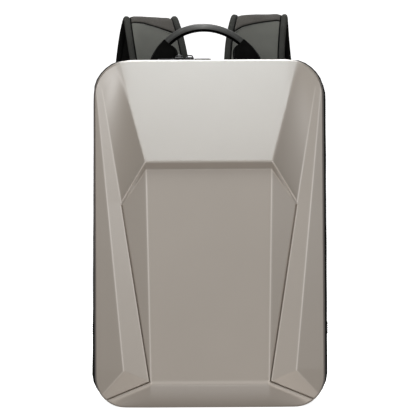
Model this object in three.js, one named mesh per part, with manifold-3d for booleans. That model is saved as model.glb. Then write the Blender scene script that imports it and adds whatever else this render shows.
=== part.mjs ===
// A hard-shell laptop backpack, standing on its base.
// Millimetres, +Z up, the front facing -Y, the origin on the ground under the middle of the side wall.
import * as THREE from "three";
import { mergeVertices } from "three/addons/utils/BufferGeometryUtils.js";
import Module from "manifold-3d";

const wasm = await Module();
wasm.setup();

// Driving dimensions
const BAG = { width: 300, height: 452, topCorner: 48, bottomCorner: 40 };
const RIM_Y = -52; // where the shell meets the fabric side wall
const BACK_Y = 50; // where the side wall meets the back panel
const GAP = 0.3; // between pieces that touch
const CORNER_STEPS = 8;
const SHELL_WALL = 2.6;
const FABRIC = 2.2;
const SWELL = { most: 5.5, fade: 0.5 }; // of the fabric sides: how far at the base, and the share lost by the top
const ZIP = { y: RIM_Y + 24, tapeHalf: 13, coilHalf: 3, coilRise: 1.4, endZ: 110, endHeight: 20 };
const SIDE_STATIONS_Z = [ZIP.endZ - ZIP.endHeight, ZIP.endZ, 170, 240, 310, 360];
const PANEL = { thick: 12, inset: 1.5, edge: 4, channel: 2.5, channelHalf: 5 };
const HANDLE = { y: RIM_Y + 80, gripRadius: 5.1, halfSpan: 52, endZ: 483, rise: 19.5 };
const STRAP = { binding: 9, bindingGap: 0.6, bindingProud: 0.4, stepsPerRow: 2 };
const WEB = { width: 25, thick: 1.8 };
const SLIDER = { length: 12, width: 9, height: 4.5, bridge: 3, leftX: -38.5, rightX: -25 };
const PULL = { length: 22, width: 8, thick: 2 };
const ADJUSTER = { width: 38, length: 30, thick: 5, bar: 4.5 };

const BACK_FACE_Y = BACK_Y + GAP + PANEL.thick;

// The shell's relief as rows of creases from the top edge to the bottom edge. Each row gives, on one half,
// the ridge, the valley and the edge of the middle panel: half-width x, height z, and rise from the rim.
// The rows at both ends lie past the outline, which trims them.
const RELIEF_ROWS = [
  { name: "crest", ridge: [162, 440, 3], valley: [159, 443, 3.5], edge: [126.3, 480, -3], steps: 2 },
  { name: "shoulder", ridge: [146, 412.5, 8], valley: [144.8, 413.5, 8.4], edge: [115.4, 441, 11], steps: 7 },
  { name: "brow", ridge: [131.8, 266, 16.8], valley: [113.7, 266, 21.3], edge: [81, 317, 55], steps: 1 },
  { name: "tip", ridge: [131.4, 262, 17.1], valley: [112.8, 262, 21.8], edge: [80.4, 307.8, 46.5], steps: 1 },
  { name: "foot", ridge: [111, 49.6, 34.5], valley: [77.2, 36.2, 44.2], edge: [75.6, 37.5, 45.5], steps: 1 },
  { name: "lip", ridge: [117.1, 42.8, 30.4], valley: [88.3, 31.2, 38.7], edge: [76, 22, 38.5], steps: 1 },
  { name: "toe", ridge: [151.8, 4.2, 7], valley: [151, 3, 7.6], edge: [76.9, -12, 3], steps: 1 },
];
const RELIEF_SIDE = { x: 178, slope: 0.795 }; // the outer facets fall away from the ridge at this slope
const RELIEF_BACK = -45;
// The shell's rounded rim: how far in from the outline it is at each rise.
const RIM_ROWS = [
  { rise: 0, inset: 0 },
  { rise: 4, inset: 0.3 },
  { rise: 7, inset: 1.2 },
  { rise: 9.5, inset: 3 },
  { rise: 11.5, inset: 6 },
  { rise: 13, inset: 10 },
  { rise: 90, inset: 10.5 },
];
// The groove beside the middle panel and round under the side fin follows the valley: how deep it is at each
// row, and the way across it, in x and z.
const GROOVE_ROWS = [
  { name: "tip", depth: 0.2, half: 0.4, across: [1, 0] },
  { name: "foot", depth: 1.5, half: 1.1, across: [1, 0.8] },
  { name: "toe", depth: 0.2, half: 0.4, across: [0, 1] },
];

// One half of the handle's feet, from the grip's end down to the top of the bag: the outer and inner
// corners, half-width x and height z, and half the foot's depth.
const FOOT_ROWS = [
  { outerX: 55.4, outerZ: 486.8, innerX: 48.6, innerZ: 479.2, half: 5.6 },
  { outerX: 62.3, outerZ: 478.4, innerX: 42.8, innerZ: 475.8, half: 6.6 },
  { outerX: 68.2, outerZ: 469, innerX: 39.2, innerZ: 469, half: 8.2 },
  { outerX: 72, outerZ: 460.8, innerX: 38.3, innerZ: 460.8, half: 9.4 },
  { outerX: 75, outerZ: BAG.height + GAP, innerX: 38, innerZ: BAG.height + GAP, half: 10 },
];

// One shoulder strap from its seam on the back panel, over the top and down to its buckle: the middle of the
// pad, and its width and thickness there.
const STRAP_ROWS = [
  { x: 62, y: BACK_FACE_Y + 6.2, z: 416, width: 80, thick: 9 },
  { x: 64.5, y: BACK_FACE_Y + 7.8, z: 448, width: 80, thick: 12 },
  { x: 67.5, y: 73, z: 480, width: 79, thick: 12 },
  { x: 71.5, y: 79.5, z: 505, width: 77, thick: 12 },
  { x: 75.5, y: 97, z: 521, width: 75, thick: 12 },
  { x: 79, y: 115, z: 512, width: 74, thick: 12 },
  { x: 82.5, y: 126, z: 490, width: 73, thick: 12 },
  { x: 87, y: 133, z: 455, width: 72, thick: 12 },
  { x: 94, y: 138.5, z: 405, width: 71, thick: 12 },
  { x: 100, y: 139.5, z: 350, width: 70, thick: 12 },
  { x: 104, y: 136, z: 290, width: 67, thick: 12 },
  { x: 106.5, y: 128, z: 235, width: 62, thick: 12 },
  { x: 108, y: 118.5, z: 195, width: 50, thick: 10 },
  { x: 109, y: 112, z: 172, width: 38, thick: 7 },
];
const ANCHOR = { x: 118, z: 34, width: 44, height: 42, thick: 2.4 };

// Colours and finishes
const finish = (color, roughness, metalness = 0) =>
  new THREE.MeshStandardMaterial({ color, roughness, metalness });
const SHELL_PAINT = finish("#a89f95", 0.38, 0.35);
const BLACK_FABRIC = finish("#141414", 0.85);
const GREY_FABRIC = finish("#5a5a56", 0.8);
const DARK_BINDING = finish("#3d3d3a", 0.75);
const GRIP_LEATHER = finish("#4a4846", 0.5);
const BLACK_WEB = finish("#101010", 0.8);
const BLACK_PLASTIC = finish("#161616", 0.45);
const ZIP_METAL = finish("#6d6d70", 0.35, 0.9);

// Solids

// Rings of points, each listed out along one side and back along the other, joined into one closed skin.
function skin(rings, closed = false) {
  const count = rings[0].length;
  const index = [];
  const quad = (a, b, c, d) => index.push(a, b, c, a, c, d);
  const spans = closed ? rings.length : rings.length - 1;
  for (let r = 0; r < spans; r++) {
    const near = r * count;
    const far = ((r + 1) % rings.length) * count;
    for (let i = 0; i < count; i++) {
      const j = (i + 1) % count;
      // The second half of a ring mirrors the first, and so do its diagonals.
      if (i < count / 4 || (i >= count / 2 && i < (count * 3) / 4)) {
        quad(near + j, far + j, far + i, near + i);
      } else quad(near + i, near + j, far + j, far + i);
    }
  }
  if (!closed) {
    const last = (rings.length - 1) * count;
    for (let i = 0; i < count / 2 - 1; i++) {
      const across = count - 1 - i;
      quad(i, across, across - 1, i + 1);
      quad(last + i, last + i + 1, last + across - 1, last + across);
    }
  }
  const points = rings.flat();
  return facingOut(points, index);
}

// The skin as a geometry whose faces point outwards.
function facingOut(points, index) {
  let volume = 0;
  for (let i = 0; i < index.length; i += 3) {
    const [a, b, c] = [points[index[i]], points[index[i + 1]], points[index[i + 2]]];
    volume += a.dot(new THREE.Vector3().crossVectors(b, c));
  }
  if (volume < 0) index.reverse();
  const made = new THREE.BufferGeometry().setFromPoints(points);
  made.setIndex(index);
  return made;
}

function solid(geometry) {
  const bare = geometry.clone();
  bare.deleteAttribute("normal");
  bare.deleteAttribute("uv");
  const merged = mergeVertices(bare, 1e-4);
  return new wasm.Manifold(
    new wasm.Mesh({
      numProp: 3,
      vertProperties: new Float32Array(merged.attributes.position.array),
      triVerts: new Uint32Array(merged.index.array),
    }),
  );
}

function geometryOf(made) {
  const { vertProperties, triVerts } = made.getMesh();
  const geometry = new THREE.BufferGeometry();
  geometry.setAttribute("position", new THREE.BufferAttribute(vertProperties, 3));
  geometry.setIndex(new THREE.BufferAttribute(triVerts, 1));
  return geometry;
}

function piece(name, geometry, material) {
  geometry.computeVertexNormals();
  const mesh = new THREE.Mesh(geometry, material);
  mesh.name = name;
  return mesh;
}

function group(...members) {
  return new THREE.Group().add(...members);
}

// The bag's outline and its fabric side wall

// Stations round the outline, from the right end of the base, up, over the top and down to the left end.
function outlineStations() {
  const { width, height, topCorner, bottomCorner } = BAG;
  const stations = [];
  const arc = (side, radius, z, fromDeg) => {
    for (let i = 0; i <= CORNER_STEPS; i++) {
      const angle = THREE.MathUtils.degToRad(fromDeg + (90 * i) / CORNER_STEPS);
      const [outX, outZ] = [Math.cos(angle), Math.sin(angle)];
      stations.push({ x: side * (width / 2 - radius) + radius * outX, z: z + radius * outZ, outX, outZ });
    }
  };
  const flank = (side, heights) =>
    heights.forEach((z) => stations.push({ x: (side * width) / 2, z, outX: side, outZ: 0 }));
  arc(1, bottomCorner, bottomCorner, -90);
  flank(1, SIDE_STATIONS_Z);
  arc(1, topCorner, height - topCorner, 0);
  arc(-1, topCorner, height - topCorner, 90);
  flank(-1, [...SIDE_STATIONS_Z].reverse());
  arc(-1, bottomCorner, bottomCorner, 180);
  return stations;
}
const STATIONS = outlineStations();

// A point on the side wall, lifted off its outer face. The fabric swells at the sides, most of all low down.
function wallPoint(station, y, lift) {
  const along = (y - RIM_Y) / (BACK_Y - RIM_Y);
  const fullness = station.outX ** 2 * (1 - (SWELL.fade * station.z) / BAG.height);
  const out = lift + SWELL.most * fullness * Math.sin(Math.PI * along);
  return new THREE.Vector3(station.x + station.outX * out, y, station.z + station.outZ * out);
}

// A strip of the wall between two lifts. The profile lists its outer face from front to back.
function wallStrip(stations, profile, low, closed = false) {
  const rings = stations.map((station) => [
    ...profile.map(({ y, lift }) => wallPoint(station, y, lift)),
    ...[...profile].reverse().map(({ y }) => wallPoint(station, y, low)),
  ]);
  return skin(rings, closed);
}

const depths = (from, to, steps) =>
  Array.from({ length: steps + 1 }, (_, i) => ({ y: from + ((to - from) * i) / steps, lift: 0 }));

// The zip runs over the top between the stations at its two ends, and cloth fills the wall below.
const zipFirst = STATIONS.findIndex((s) => s.z === ZIP.endZ);
const zipLast = STATIONS.findLastIndex((s) => s.z === ZIP.endZ);
const aboveZipEnds = STATIONS.slice(zipFirst, zipLast + 1);
const belowZipEnds = [...STATIONS.slice(zipLast), ...STATIONS.slice(0, zipFirst + 1)];

function makeGusset() {
  const front = ZIP.y - ZIP.tapeHalf - GAP;
  const back = ZIP.y + ZIP.tapeHalf + GAP;
  const strips = [
    wallStrip(STATIONS, depths(RIM_Y + GAP, front, 1), -FABRIC, true),
    wallStrip(STATIONS, depths(back, BACK_Y, 4), -FABRIC, true),
    wallStrip(belowZipEnds, depths(front, back, 2), -FABRIC),
  ];
  return geometryOf(wasm.Manifold.union(strips.map(solid)));
}

function makeZipTape() {
  const { y, tapeHalf, coilHalf, coilRise } = ZIP;
  const tape = -0.5;
  const profile = [
    { y: y - tapeHalf, lift: tape },
    { y: y - coilHalf - 0.6, lift: tape },
    { y: y - coilHalf, lift: tape + coilRise },
    { y: y + coilHalf, lift: tape + coilRise },
    { y: y + coilHalf + 0.6, lift: tape },
    { y: y + tapeHalf, lift: tape },
  ];
  // The first and last stations move in, so that the tape stops short of the cloth below it.
  const clear = (station) => ({ ...station, z: station.z + GAP });
  const inner = aboveZipEnds.slice(1, -1);
  const stations = [clear(aboveZipEnds[0]), ...inner, clear(aboveZipEnds.at(-1))];
  return wallStrip(stations, profile, -FABRIC);
}

// A cloth tab over one end of the zip.
function makeZipEnd(first) {
  const profile = depths(ZIP.y - ZIP.tapeHalf, ZIP.y + ZIP.tapeHalf, 2).map(({ y }) => ({ y, lift: 1.7 }));
  return wallStrip(STATIONS.slice(first, first + 2), profile, GAP);
}

// The hard shell

// Rows of the relief with the straight stretches between them divided, so that twisted facets stay smooth.
function reliefRings() {
  const columns = ["ridge", "valley", "edge"];
  const rows = RELIEF_ROWS.flatMap((row, r) => {
    const next = RELIEF_ROWS[r + 1] ?? row;
    const between = (column, t) => row[column].map((v, k) => THREE.MathUtils.lerp(v, next[column][k], t));
    return Array.from({ length: row.steps }, (_, s) =>
      columns.map((column) => between(column, s / row.steps)),
    );
  });
  return rows.map(([ridge, valley, edge]) => {
    const side = [RELIEF_SIDE.x, ridge[1], ridge[2] - RELIEF_SIDE.slope * (RELIEF_SIDE.x - ridge[0])];
    const half = [side, ridge, valley, edge];
    const front = [
      ...half.map(([x, z, rise]) => new THREE.Vector3(-x, RIM_Y - rise, z)),
      ...half.reverse().map(([x, z, rise]) => new THREE.Vector3(x, RIM_Y - rise, z)),
    ];
    const back = [...front].reverse().map((p) => new THREE.Vector3(p.x, RIM_Y - RELIEF_BACK, p.z));
    return [...front, ...back];
  });
}

function rimRings() {
  return RIM_ROWS.map(({ rise, inset }) =>
    STATIONS.map((s) => new THREE.Vector3(s.x - s.outX * inset, RIM_Y - rise, s.z - s.outZ * inset)),
  );
}

// A wedge along the valley on one side of the shell.
function grooveCutter(side) {
  const rings = GROOVE_ROWS.map(({ name, depth, half, across }) => {
    const [x, z, rise] = RELIEF_ROWS.find((row) => row.name === name).valley;
    const at = (share, lift) => {
      const off = share * half;
      return new THREE.Vector3(side * (x + off * across[0]), RIM_Y - rise - lift, z + off * across[1]);
    };
    return [at(-1, 2), at(1, 2), at(0.1, -depth), at(-0.1, -depth)];
  });
  return skin(rings);
}

function makeFrontShell() {
  const block = solid(skin(reliefRings())).intersect(solid(skin(rimRings())));
  const { width, height } = BAG;
  const middle = new THREE.Vector3(0, RIM_Y, height / 2);
  const shrink = new THREE.Vector3(1 - (2 * SHELL_WALL) / width, 1, 1 - (2 * SHELL_WALL) / height);
  const hollow = geometryOf(block)
    .translate(-middle.x, -middle.y, -middle.z)
    .scale(shrink.x, shrink.y, shrink.z)
    .translate(middle.x, middle.y + SHELL_WALL, middle.z);
  const cutters = [-1, 1].map((side) => solid(grooveCutter(side)));
  return geometryOf(wasm.Manifold.difference([block, solid(hollow), ...cutters]).simplify(0.02));
}

// The padded back panel, with rounded edges and sewn air channels
function makeBackPanel() {
  const { thick, inset, edge, channel, channelHalf } = PANEL;
  const front = BACK_Y + GAP;
  const loop = (y, further) =>
    STATIONS.map((s) => {
      const out = -(inset + further);
      return new THREE.Vector3(s.x + s.outX * out, y, s.z + s.outZ * out);
    });
  const pad = solid(
    skin([
      loop(front, 0),
      loop(front + thick - edge, 0),
      loop(front + thick - edge * 0.35, edge * 0.35),
      loop(front + thick, edge * 1.2),
    ]),
  );
  // Channels are shallow trapezoid troughs: one down the middle and two across the lower back.
  const trough = (length, x, z, upright) => {
    const shape = new THREE.Shape([
      new THREE.Vector2(-channelHalf, 1),
      new THREE.Vector2(channelHalf, 1),
      new THREE.Vector2(channelHalf * 0.5, -channel),
      new THREE.Vector2(-channelHalf * 0.5, -channel),
    ]);
    const cut = new THREE.ExtrudeGeometry(shape, { depth: length, bevelEnabled: false });
    cut.translate(0, 0, -length / 2);
    if (!upright) cut.rotateY(Math.PI / 2);
    return solid(cut.translate(x, front + thick, z));
  };
  const { width, height } = BAG;
  const channels = [
    trough(height * 0.66, 0, height * 0.45, true),
    trough(width * 0.7, 0, height * 0.33, false),
    trough(width * 0.7, 0, height * 0.62, false),
  ];
  return geometryOf(wasm.Manifold.difference([pad, ...channels]));
}

// Swept pieces: handle, straps and webbing

// A flat section with cut corners, listed along its outer face and back along its inner face.
function flatSection(width, thick, cut) {
  const [w, t] = [width / 2, thick / 2];
  const outer = [
    [-w, t - cut],
    [-w + cut, t],
    [w - cut, t],
    [w, t - cut],
  ];
  return [...outer, ...[...outer].reverse().map(([u, v]) => [u, -v])];
}

// A section carried along frames. Each frame has a point, a direction across and a direction outwards.
function sweep(frames, sectionOf) {
  const rings = frames.map((frame) =>
    sectionOf(frame).map(([u, v]) =>
      frame.at.clone().addScaledVector(frame.across, u).addScaledVector(frame.out, v),
    ),
  );
  return skin(rings);
}

// Frames along a smooth path, each lying as flat to the left and right as the path lets it.
function framesAlong(points, stepsPerPoint, side = 1) {
  const curve = new THREE.CatmullRomCurve3(points);
  const steps = (points.length - 1) * stepsPerPoint;
  return Array.from({ length: steps + 1 }, (_, i) => {
    const tangent = curve.getTangent(i / steps);
    const across = new THREE.Vector3(side, 0, 0);
    across.addScaledVector(tangent, -across.dot(tangent)).normalize();
    const out = new THREE.Vector3().crossVectors(across, tangent).multiplyScalar(side);
    return { at: curve.getPoint(i / steps), across, out, row: i / stepsPerPoint };
  });
}

function makeHandleGrip() {
  const { halfSpan, rise, endZ, y, gripRadius } = HANDLE;
  const radius = (halfSpan * halfSpan + rise * rise) / (2 * rise);
  const swing = Math.asin(halfSpan / radius);
  const steps = 12;
  const sides = 12;
  const rings = Array.from({ length: steps + 1 }, (_, i) => {
    const angle = swing * (1 - (2 * i) / steps);
    const [sin, cos] = [Math.sin(angle), Math.cos(angle)];
    return Array.from({ length: sides }, (_, k) => {
      const turn = (2 * Math.PI * (k + 0.5)) / sides;
      const reach = radius + gripRadius * Math.cos(turn);
      const depth = gripRadius * 1.1 * Math.sin(turn);
      return new THREE.Vector3(-reach * sin, y + depth, endZ + rise - radius + reach * cos);
    });
  });
  return skin(rings);
}

function makeHandleFoot(side) {
  const rings = FOOT_ROWS.map(({ outerX, outerZ, innerX, innerZ, half }, row) => {
    // The top row stays clear of the grip's end.
    const clear = row === 0 ? GAP : 0;
    const at = (share, depth) =>
      new THREE.Vector3(
        side * (THREE.MathUtils.lerp(outerX, innerX, share) + clear),
        HANDLE.y + depth,
        THREE.MathUtils.lerp(outerZ, innerZ, share) - clear,
      );
    const front = [at(0, -half * 0.6), at(0.12, -half), at(0.88, -half), at(1, -half * 0.6)];
    const back = [at(1, half * 0.6), at(0.88, half), at(0.12, half), at(0, half * 0.6)];
    return [...front, ...back];
  });
  return skin(rings);
}

const valueAt = (rows, key, at) => {
  const low = Math.min(Math.floor(at), rows.length - 2);
  return THREE.MathUtils.lerp(rows[low][key], rows[low + 1][key], at - low);
};

function strapFrames(side) {
  const points = STRAP_ROWS.map(({ x, y, z }) => new THREE.Vector3(side * x, y, z));
  return framesAlong(points, STRAP.stepsPerRow, side).map((frame) => ({
    ...frame,
    width: valueAt(STRAP_ROWS, "width", frame.row),
    thick: valueAt(STRAP_ROWS, "thick", frame.row),
  }));
}

function makeStrapPad(side) {
  return sweep(strapFrames(side), ({ width, thick }) =>
    flatSection(width - 2 * (STRAP.binding + STRAP.bindingGap), thick, 1.5),
  );
}

// A rolled binding along one edge of a strap: edge 1 is the outer edge, -1 the one beside the neck.
function makeStrapBinding(side, edge) {
  return sweep(strapFrames(side), ({ width, thick }) =>
    flatSection(STRAP.binding, thick + 2 * STRAP.bindingProud, 2.8).map(([u, v]) => [
      u + (edge * (width - STRAP.binding)) / 2,
      v,
    ]),
  );
}

// The lower end of a strap: buckle, webbing and the tab that holds it

// Where the strap's pad ends, and the way it points there.
function strapEnd(side) {
  const frame = strapFrames(side).at(-1);
  const down = new THREE.Vector3().crossVectors(frame.out, frame.across).multiplyScalar(side).normalize();
  if (down.z > 0) down.negate();
  return { ...frame, down };
}

function makeAdjuster(side) {
  const { width, length, thick, bar } = ADJUSTER;
  const shape = new THREE.Shape();
  const [w, l] = [width / 2, length];
  shape.moveTo(-w, 0).lineTo(w, 0).lineTo(w, l).lineTo(-w, l).closePath();
  const slotHeight = (length - 3 * bar) / 2;
  [bar, 2 * bar + slotHeight].forEach((low) => {
    const slot = new THREE.Path();
    const [x, high] = [w - bar, low + slotHeight];
    slot.moveTo(-x, low).lineTo(-x, high).lineTo(x, high).lineTo(x, low).closePath();
    shape.holes.push(slot);
  });
  const { at, across, out, down } = strapEnd(side);
  const geometry = new THREE.ExtrudeGeometry(shape, { depth: thick, bevelEnabled: false });
  const right = across.clone().multiplyScalar(side);
  const place = new THREE.Matrix4().makeBasis(right, down, new THREE.Vector3().crossVectors(right, down));
  place.setPosition(at.clone().addScaledVector(down, GAP));
  geometry.translate(0, 0, -thick / 2).applyMatrix4(place);
  return { geometry, out };
}

// The webbing comes up from the tab, passes behind the buckle's lower bar, folds over its middle bar
// and hangs down again in front as a short tail.
function makeWeb(side) {
  const { at, out, down } = strapEnd(side);
  const { length, thick, bar } = ADJUSTER;
  const middle = length / 2;
  const clear = thick / 2 + WEB.thick / 2 + 0.8;
  const spot = (along, off) => at.clone().addScaledVector(down, along + GAP).addScaledVector(out, off);
  const onTab = (z) =>
    new THREE.Vector3(side * ANCHOR.x, BACK_FACE_Y + ANCHOR.thick + 2 * GAP + WEB.thick / 2, z);
  const hairpin = [1, 0.5, 0, -0.5, -1].map((turn) => {
    const angle = (turn * Math.PI) / 2;
    return spot(middle - bar / 2 + 1 - 3.2 * Math.cos(angle), -clear * Math.sin(angle));
  });
  const points = [
    onTab(ANCHOR.z - 12),
    onTab(ANCHOR.z + 6),
    onTab(ANCHOR.z + 16).add(new THREE.Vector3(-side * 0.5, 2, 0)),
    spot(length + 40, -clear - 1),
    spot(length + 8, -clear),
    spot(length - bar, -clear),
    ...hairpin,
    spot(length - bar, clear),
    spot(length + 12, clear),
    spot(length + 60, clear + 1),
  ];
  return sweep(framesAlong(points, 2, side), () => flatSection(WEB.width, WEB.thick, 0.5));
}

function makeAnchor(side) {
  const { x, z, width, height, thick } = ANCHOR;
  const shape = new THREE.Shape();
  const topHalf = WEB.width / 2 + 2;
  shape.moveTo(-width / 2, -height / 2).lineTo(width / 2, -height / 2);
  shape.lineTo(topHalf, height / 2).lineTo(-topHalf, height / 2).closePath();
  const geometry = new THREE.ExtrudeGeometry(shape, { depth: thick, bevelEnabled: false });
  return geometry.rotateX(Math.PI / 2).translate(side * x, BACK_FACE_Y + GAP + thick, z);
}

// Zip sliders and pulls on the top stretch of the zip
const ZIP_TOP_Z = BAG.height - 0.5 + ZIP.coilRise;

function makeSlider(x, nose) {
  const { length, width, height } = SLIDER;
  const half = width / 2;
  const plan = new THREE.Shape();
  plan.moveTo(-length / 2, -half * 0.55).lineTo(-length / 2, half * 0.55);
  plan.lineTo(-length * 0.1, half).lineTo(length / 2, half);
  plan.lineTo(length / 2, -half).lineTo(-length * 0.1, -half).closePath();
  const body = new THREE.ExtrudeGeometry(plan, { depth: height, bevelEnabled: false });
  if (nose > 0) body.rotateZ(Math.PI);
  // The bridge is a small hoop over the body that the pull hangs on.
  const hoop = new THREE.Shape();
  const { bridge } = SLIDER;
  hoop.moveTo(-length * 0.36, 0).lineTo(-length * 0.3, bridge);
  hoop.lineTo(length * 0.3, bridge).lineTo(length * 0.36, 0).closePath();
  const eye = new THREE.Path();
  eye.moveTo(-length * 0.2, 0.5).lineTo(length * 0.2, 0.5).lineTo(length * 0.17, bridge - 1.1);
  eye.lineTo(-length * 0.17, bridge - 1.1).closePath();
  hoop.holes.push(eye);
  const bow = new THREE.ExtrudeGeometry(hoop, { depth: 2.6, bevelEnabled: false });
  bow.rotateX(Math.PI / 2).translate(0, 1.3, height - 0.2);
  const base = ZIP_TOP_Z + GAP;
  return geometryOf(solid(body).add(solid(bow))).translate(x, ZIP.y, base);
}

// A pull lies along the zip, pointing away from the other slider, with an eye at its near end.
function makePull(sliderX, way) {
  const { length, width, thick } = PULL;
  const shape = new THREE.Shape();
  const half = width / 2;
  shape.moveTo(0, -half * 0.7).lineTo(length - half, -half);
  shape.absarc(length - half, 0, half, -Math.PI / 2, Math.PI / 2, false);
  shape.lineTo(0, half * 0.7).closePath();
  const eye = new THREE.Path();
  eye.absarc(length - half, 0, half * 0.5, 0, 2 * Math.PI, true);
  shape.holes.push(eye);
  const geometry = new THREE.ExtrudeGeometry(shape, { depth: thick, bevelEnabled: false, curveSegments: 8 });
  if (way < 0) geometry.rotateZ(Math.PI);
  const start = sliderX + way * (SLIDER.length / 2 + GAP);
  return geometry.translate(start, ZIP.y, ZIP_TOP_Z + GAP + 1);
}

// Assembly
const sideName = (side) => (side < 0 ? "left" : "right");

const body = group(
  piece("front_shell", makeFrontShell(), SHELL_PAINT),
  piece("gusset", makeGusset(), BLACK_FABRIC),
  piece("back_panel", makeBackPanel(), BLACK_FABRIC),
);

const zip = group(
  piece("zip_tape", makeZipTape(), BLACK_WEB),
  piece("zip_end_right", makeZipEnd(zipFirst - 1), BLACK_FABRIC),
  piece("zip_end_left", makeZipEnd(zipLast), BLACK_FABRIC),
  piece("zip_slider_left", makeSlider(SLIDER.leftX, 1), ZIP_METAL),
  piece("zip_slider_right", makeSlider(SLIDER.rightX, -1), ZIP_METAL),
  piece("zip_pull_left", makePull(SLIDER.leftX, -1), ZIP_METAL),
  piece("zip_pull_right", makePull(SLIDER.rightX, 1), ZIP_METAL),
);

const handle = group(
  piece("handle_grip", makeHandleGrip(), GRIP_LEATHER),
  ...[-1, 1].map((side) => piece(`handle_foot_${sideName(side)}`, makeHandleFoot(side), BLACK_WEB)),
);

const straps = [-1, 1].map((side) => {
  const name = sideName(side);
  return group(
    piece(`strap_pad_${name}`, makeStrapPad(side), GREY_FABRIC),
    piece(`strap_binding_outer_${name}`, makeStrapBinding(side, 1), DARK_BINDING),
    piece(`strap_binding_inner_${name}`, makeStrapBinding(side, -1), DARK_BINDING),
    piece(`strap_adjuster_${name}`, makeAdjuster(side).geometry, BLACK_PLASTIC),
    piece(`strap_web_${name}`, makeWeb(side), BLACK_WEB),
    piece(`strap_anchor_${name}`, makeAnchor(side), BLACK_FABRIC),
  );
});

const backpack = group(body, zip, handle, ...straps);

export default backpack;
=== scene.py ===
import math

import bmesh
import bpy
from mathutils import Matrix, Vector, noise
from mathutils.bvhtree import BVHTree


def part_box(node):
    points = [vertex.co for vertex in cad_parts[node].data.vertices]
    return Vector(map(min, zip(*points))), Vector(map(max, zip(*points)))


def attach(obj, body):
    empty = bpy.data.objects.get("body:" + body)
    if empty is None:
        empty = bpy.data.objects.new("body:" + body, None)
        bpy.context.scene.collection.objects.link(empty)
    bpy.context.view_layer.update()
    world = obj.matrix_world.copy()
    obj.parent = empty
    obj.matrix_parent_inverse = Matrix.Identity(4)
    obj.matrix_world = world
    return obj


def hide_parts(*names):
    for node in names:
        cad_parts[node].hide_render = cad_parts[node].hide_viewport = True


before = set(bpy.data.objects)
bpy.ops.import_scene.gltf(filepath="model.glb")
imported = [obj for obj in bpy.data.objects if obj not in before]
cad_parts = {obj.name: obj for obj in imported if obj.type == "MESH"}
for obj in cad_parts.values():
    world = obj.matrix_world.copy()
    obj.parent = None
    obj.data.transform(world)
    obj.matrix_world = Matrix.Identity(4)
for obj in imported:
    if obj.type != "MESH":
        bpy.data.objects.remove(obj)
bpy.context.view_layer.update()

MM = 0.001
BACKWARDS = Vector((0, 1, 0))
SIDE_NAMES = {-1: "left", 1: "right"}

# Sizes taken from the frame
shell_low, shell_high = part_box("front_shell")
tape_low, tape_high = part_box("zip_tape")
panel_low, panel_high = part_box("back_panel")
grip_low, grip_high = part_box("handle_grip")
WIDTH = shell_high.x - shell_low.x
HEIGHT = shell_high.z
RIM_Y = shell_high.y
BACK_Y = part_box("gusset")[1].y
ZIP_Y = (tape_low.y + tape_high.y) / 2
ZIP_HALF = (tape_high.y - tape_low.y) / 2
ZIP_END_Z = tape_low.z
HANDLE_Y = (grip_low.y + grip_high.y) / 2

# Sizes shared by several pieces
TOP_CORNER = 48 * MM
BOTTOM_CORNER = 40 * MM
GAP = 0.3 * MM


# Small sums

def clamp(value):
    return min(max(value, 0.0), 1.0)


def blend(a, b, share):
    return a + (b - a) * share


def bell(value, middle, half):
    return math.exp(-((value - middle) / half) ** 2)


def signed_power(value, power):
    return math.copysign(abs(value) ** power, value)


def smooth_step(value, low, high):
    share = clamp((value - low) / (high - low))
    return share * share * (3 - 2 * share)


def quarter_round(near, radius):
    """The height of a round edge, from 0 to 1, at a distance in from it."""
    return math.sqrt(max(0.0, 1 - (1 - min(near / radius, 1)) ** 2))


def beside(x, z, start, end):
    """Where a point lies by a line in the plan: its share along, its distance, and which side it is on."""
    along = Vector(end[:2]) - Vector(start[:2])
    off = Vector((x, z)) - Vector(start[:2])
    share = clamp(off.dot(along) / along.length_squared)
    left = along.x * off.y - along.y * off.x
    return share, (off - along * share).length, math.copysign(1, left)


# Mesh building

def put_in_scene(name, data):
    made = bpy.data.objects.new(name, data)
    bpy.context.scene.collection.objects.link(made)
    return made


def add_object(name, mesh, materials, node=None, smooth_angle=35):
    """A piece that rides the bag's body. The node is the solid that it stands for."""
    for material in materials:
        mesh.materials.append(material)
    mesh.polygons.foreach_set("use_smooth", [True] * len(mesh.polygons))
    mesh.set_sharp_from_angle(angle=math.radians(smooth_angle))
    made = put_in_scene(name, mesh)
    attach(made, "root")
    if node:
        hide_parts(node)
    return made


def mesh_of(name, points, faces, uvs=None, indices=None):
    """A mesh from points and faces, with a corner of the texture map, in metres, for each face corner."""
    mesh = bpy.data.meshes.new(name)
    mesh.from_pydata([tuple(p) for p in points], [], faces)
    if uvs:
        layer = mesh.uv_layers.new(name="UVMap")
        layer.data.foreach_set("uv", [value for face in uvs for corner in face for value in corner])
    if indices:
        mesh.polygons.foreach_set("material_index", indices)
    mesh.update()
    return mesh


def store_shares(mesh, name, values):
    """Keeps one number for each point of a mesh, for its material to read."""
    mesh.attributes.new(name, "FLOAT", "POINT").data.foreach_set("value", values)


def path_length(points):
    return sum((b - a).length for a, b in zip(points, points[1:]))


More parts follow.
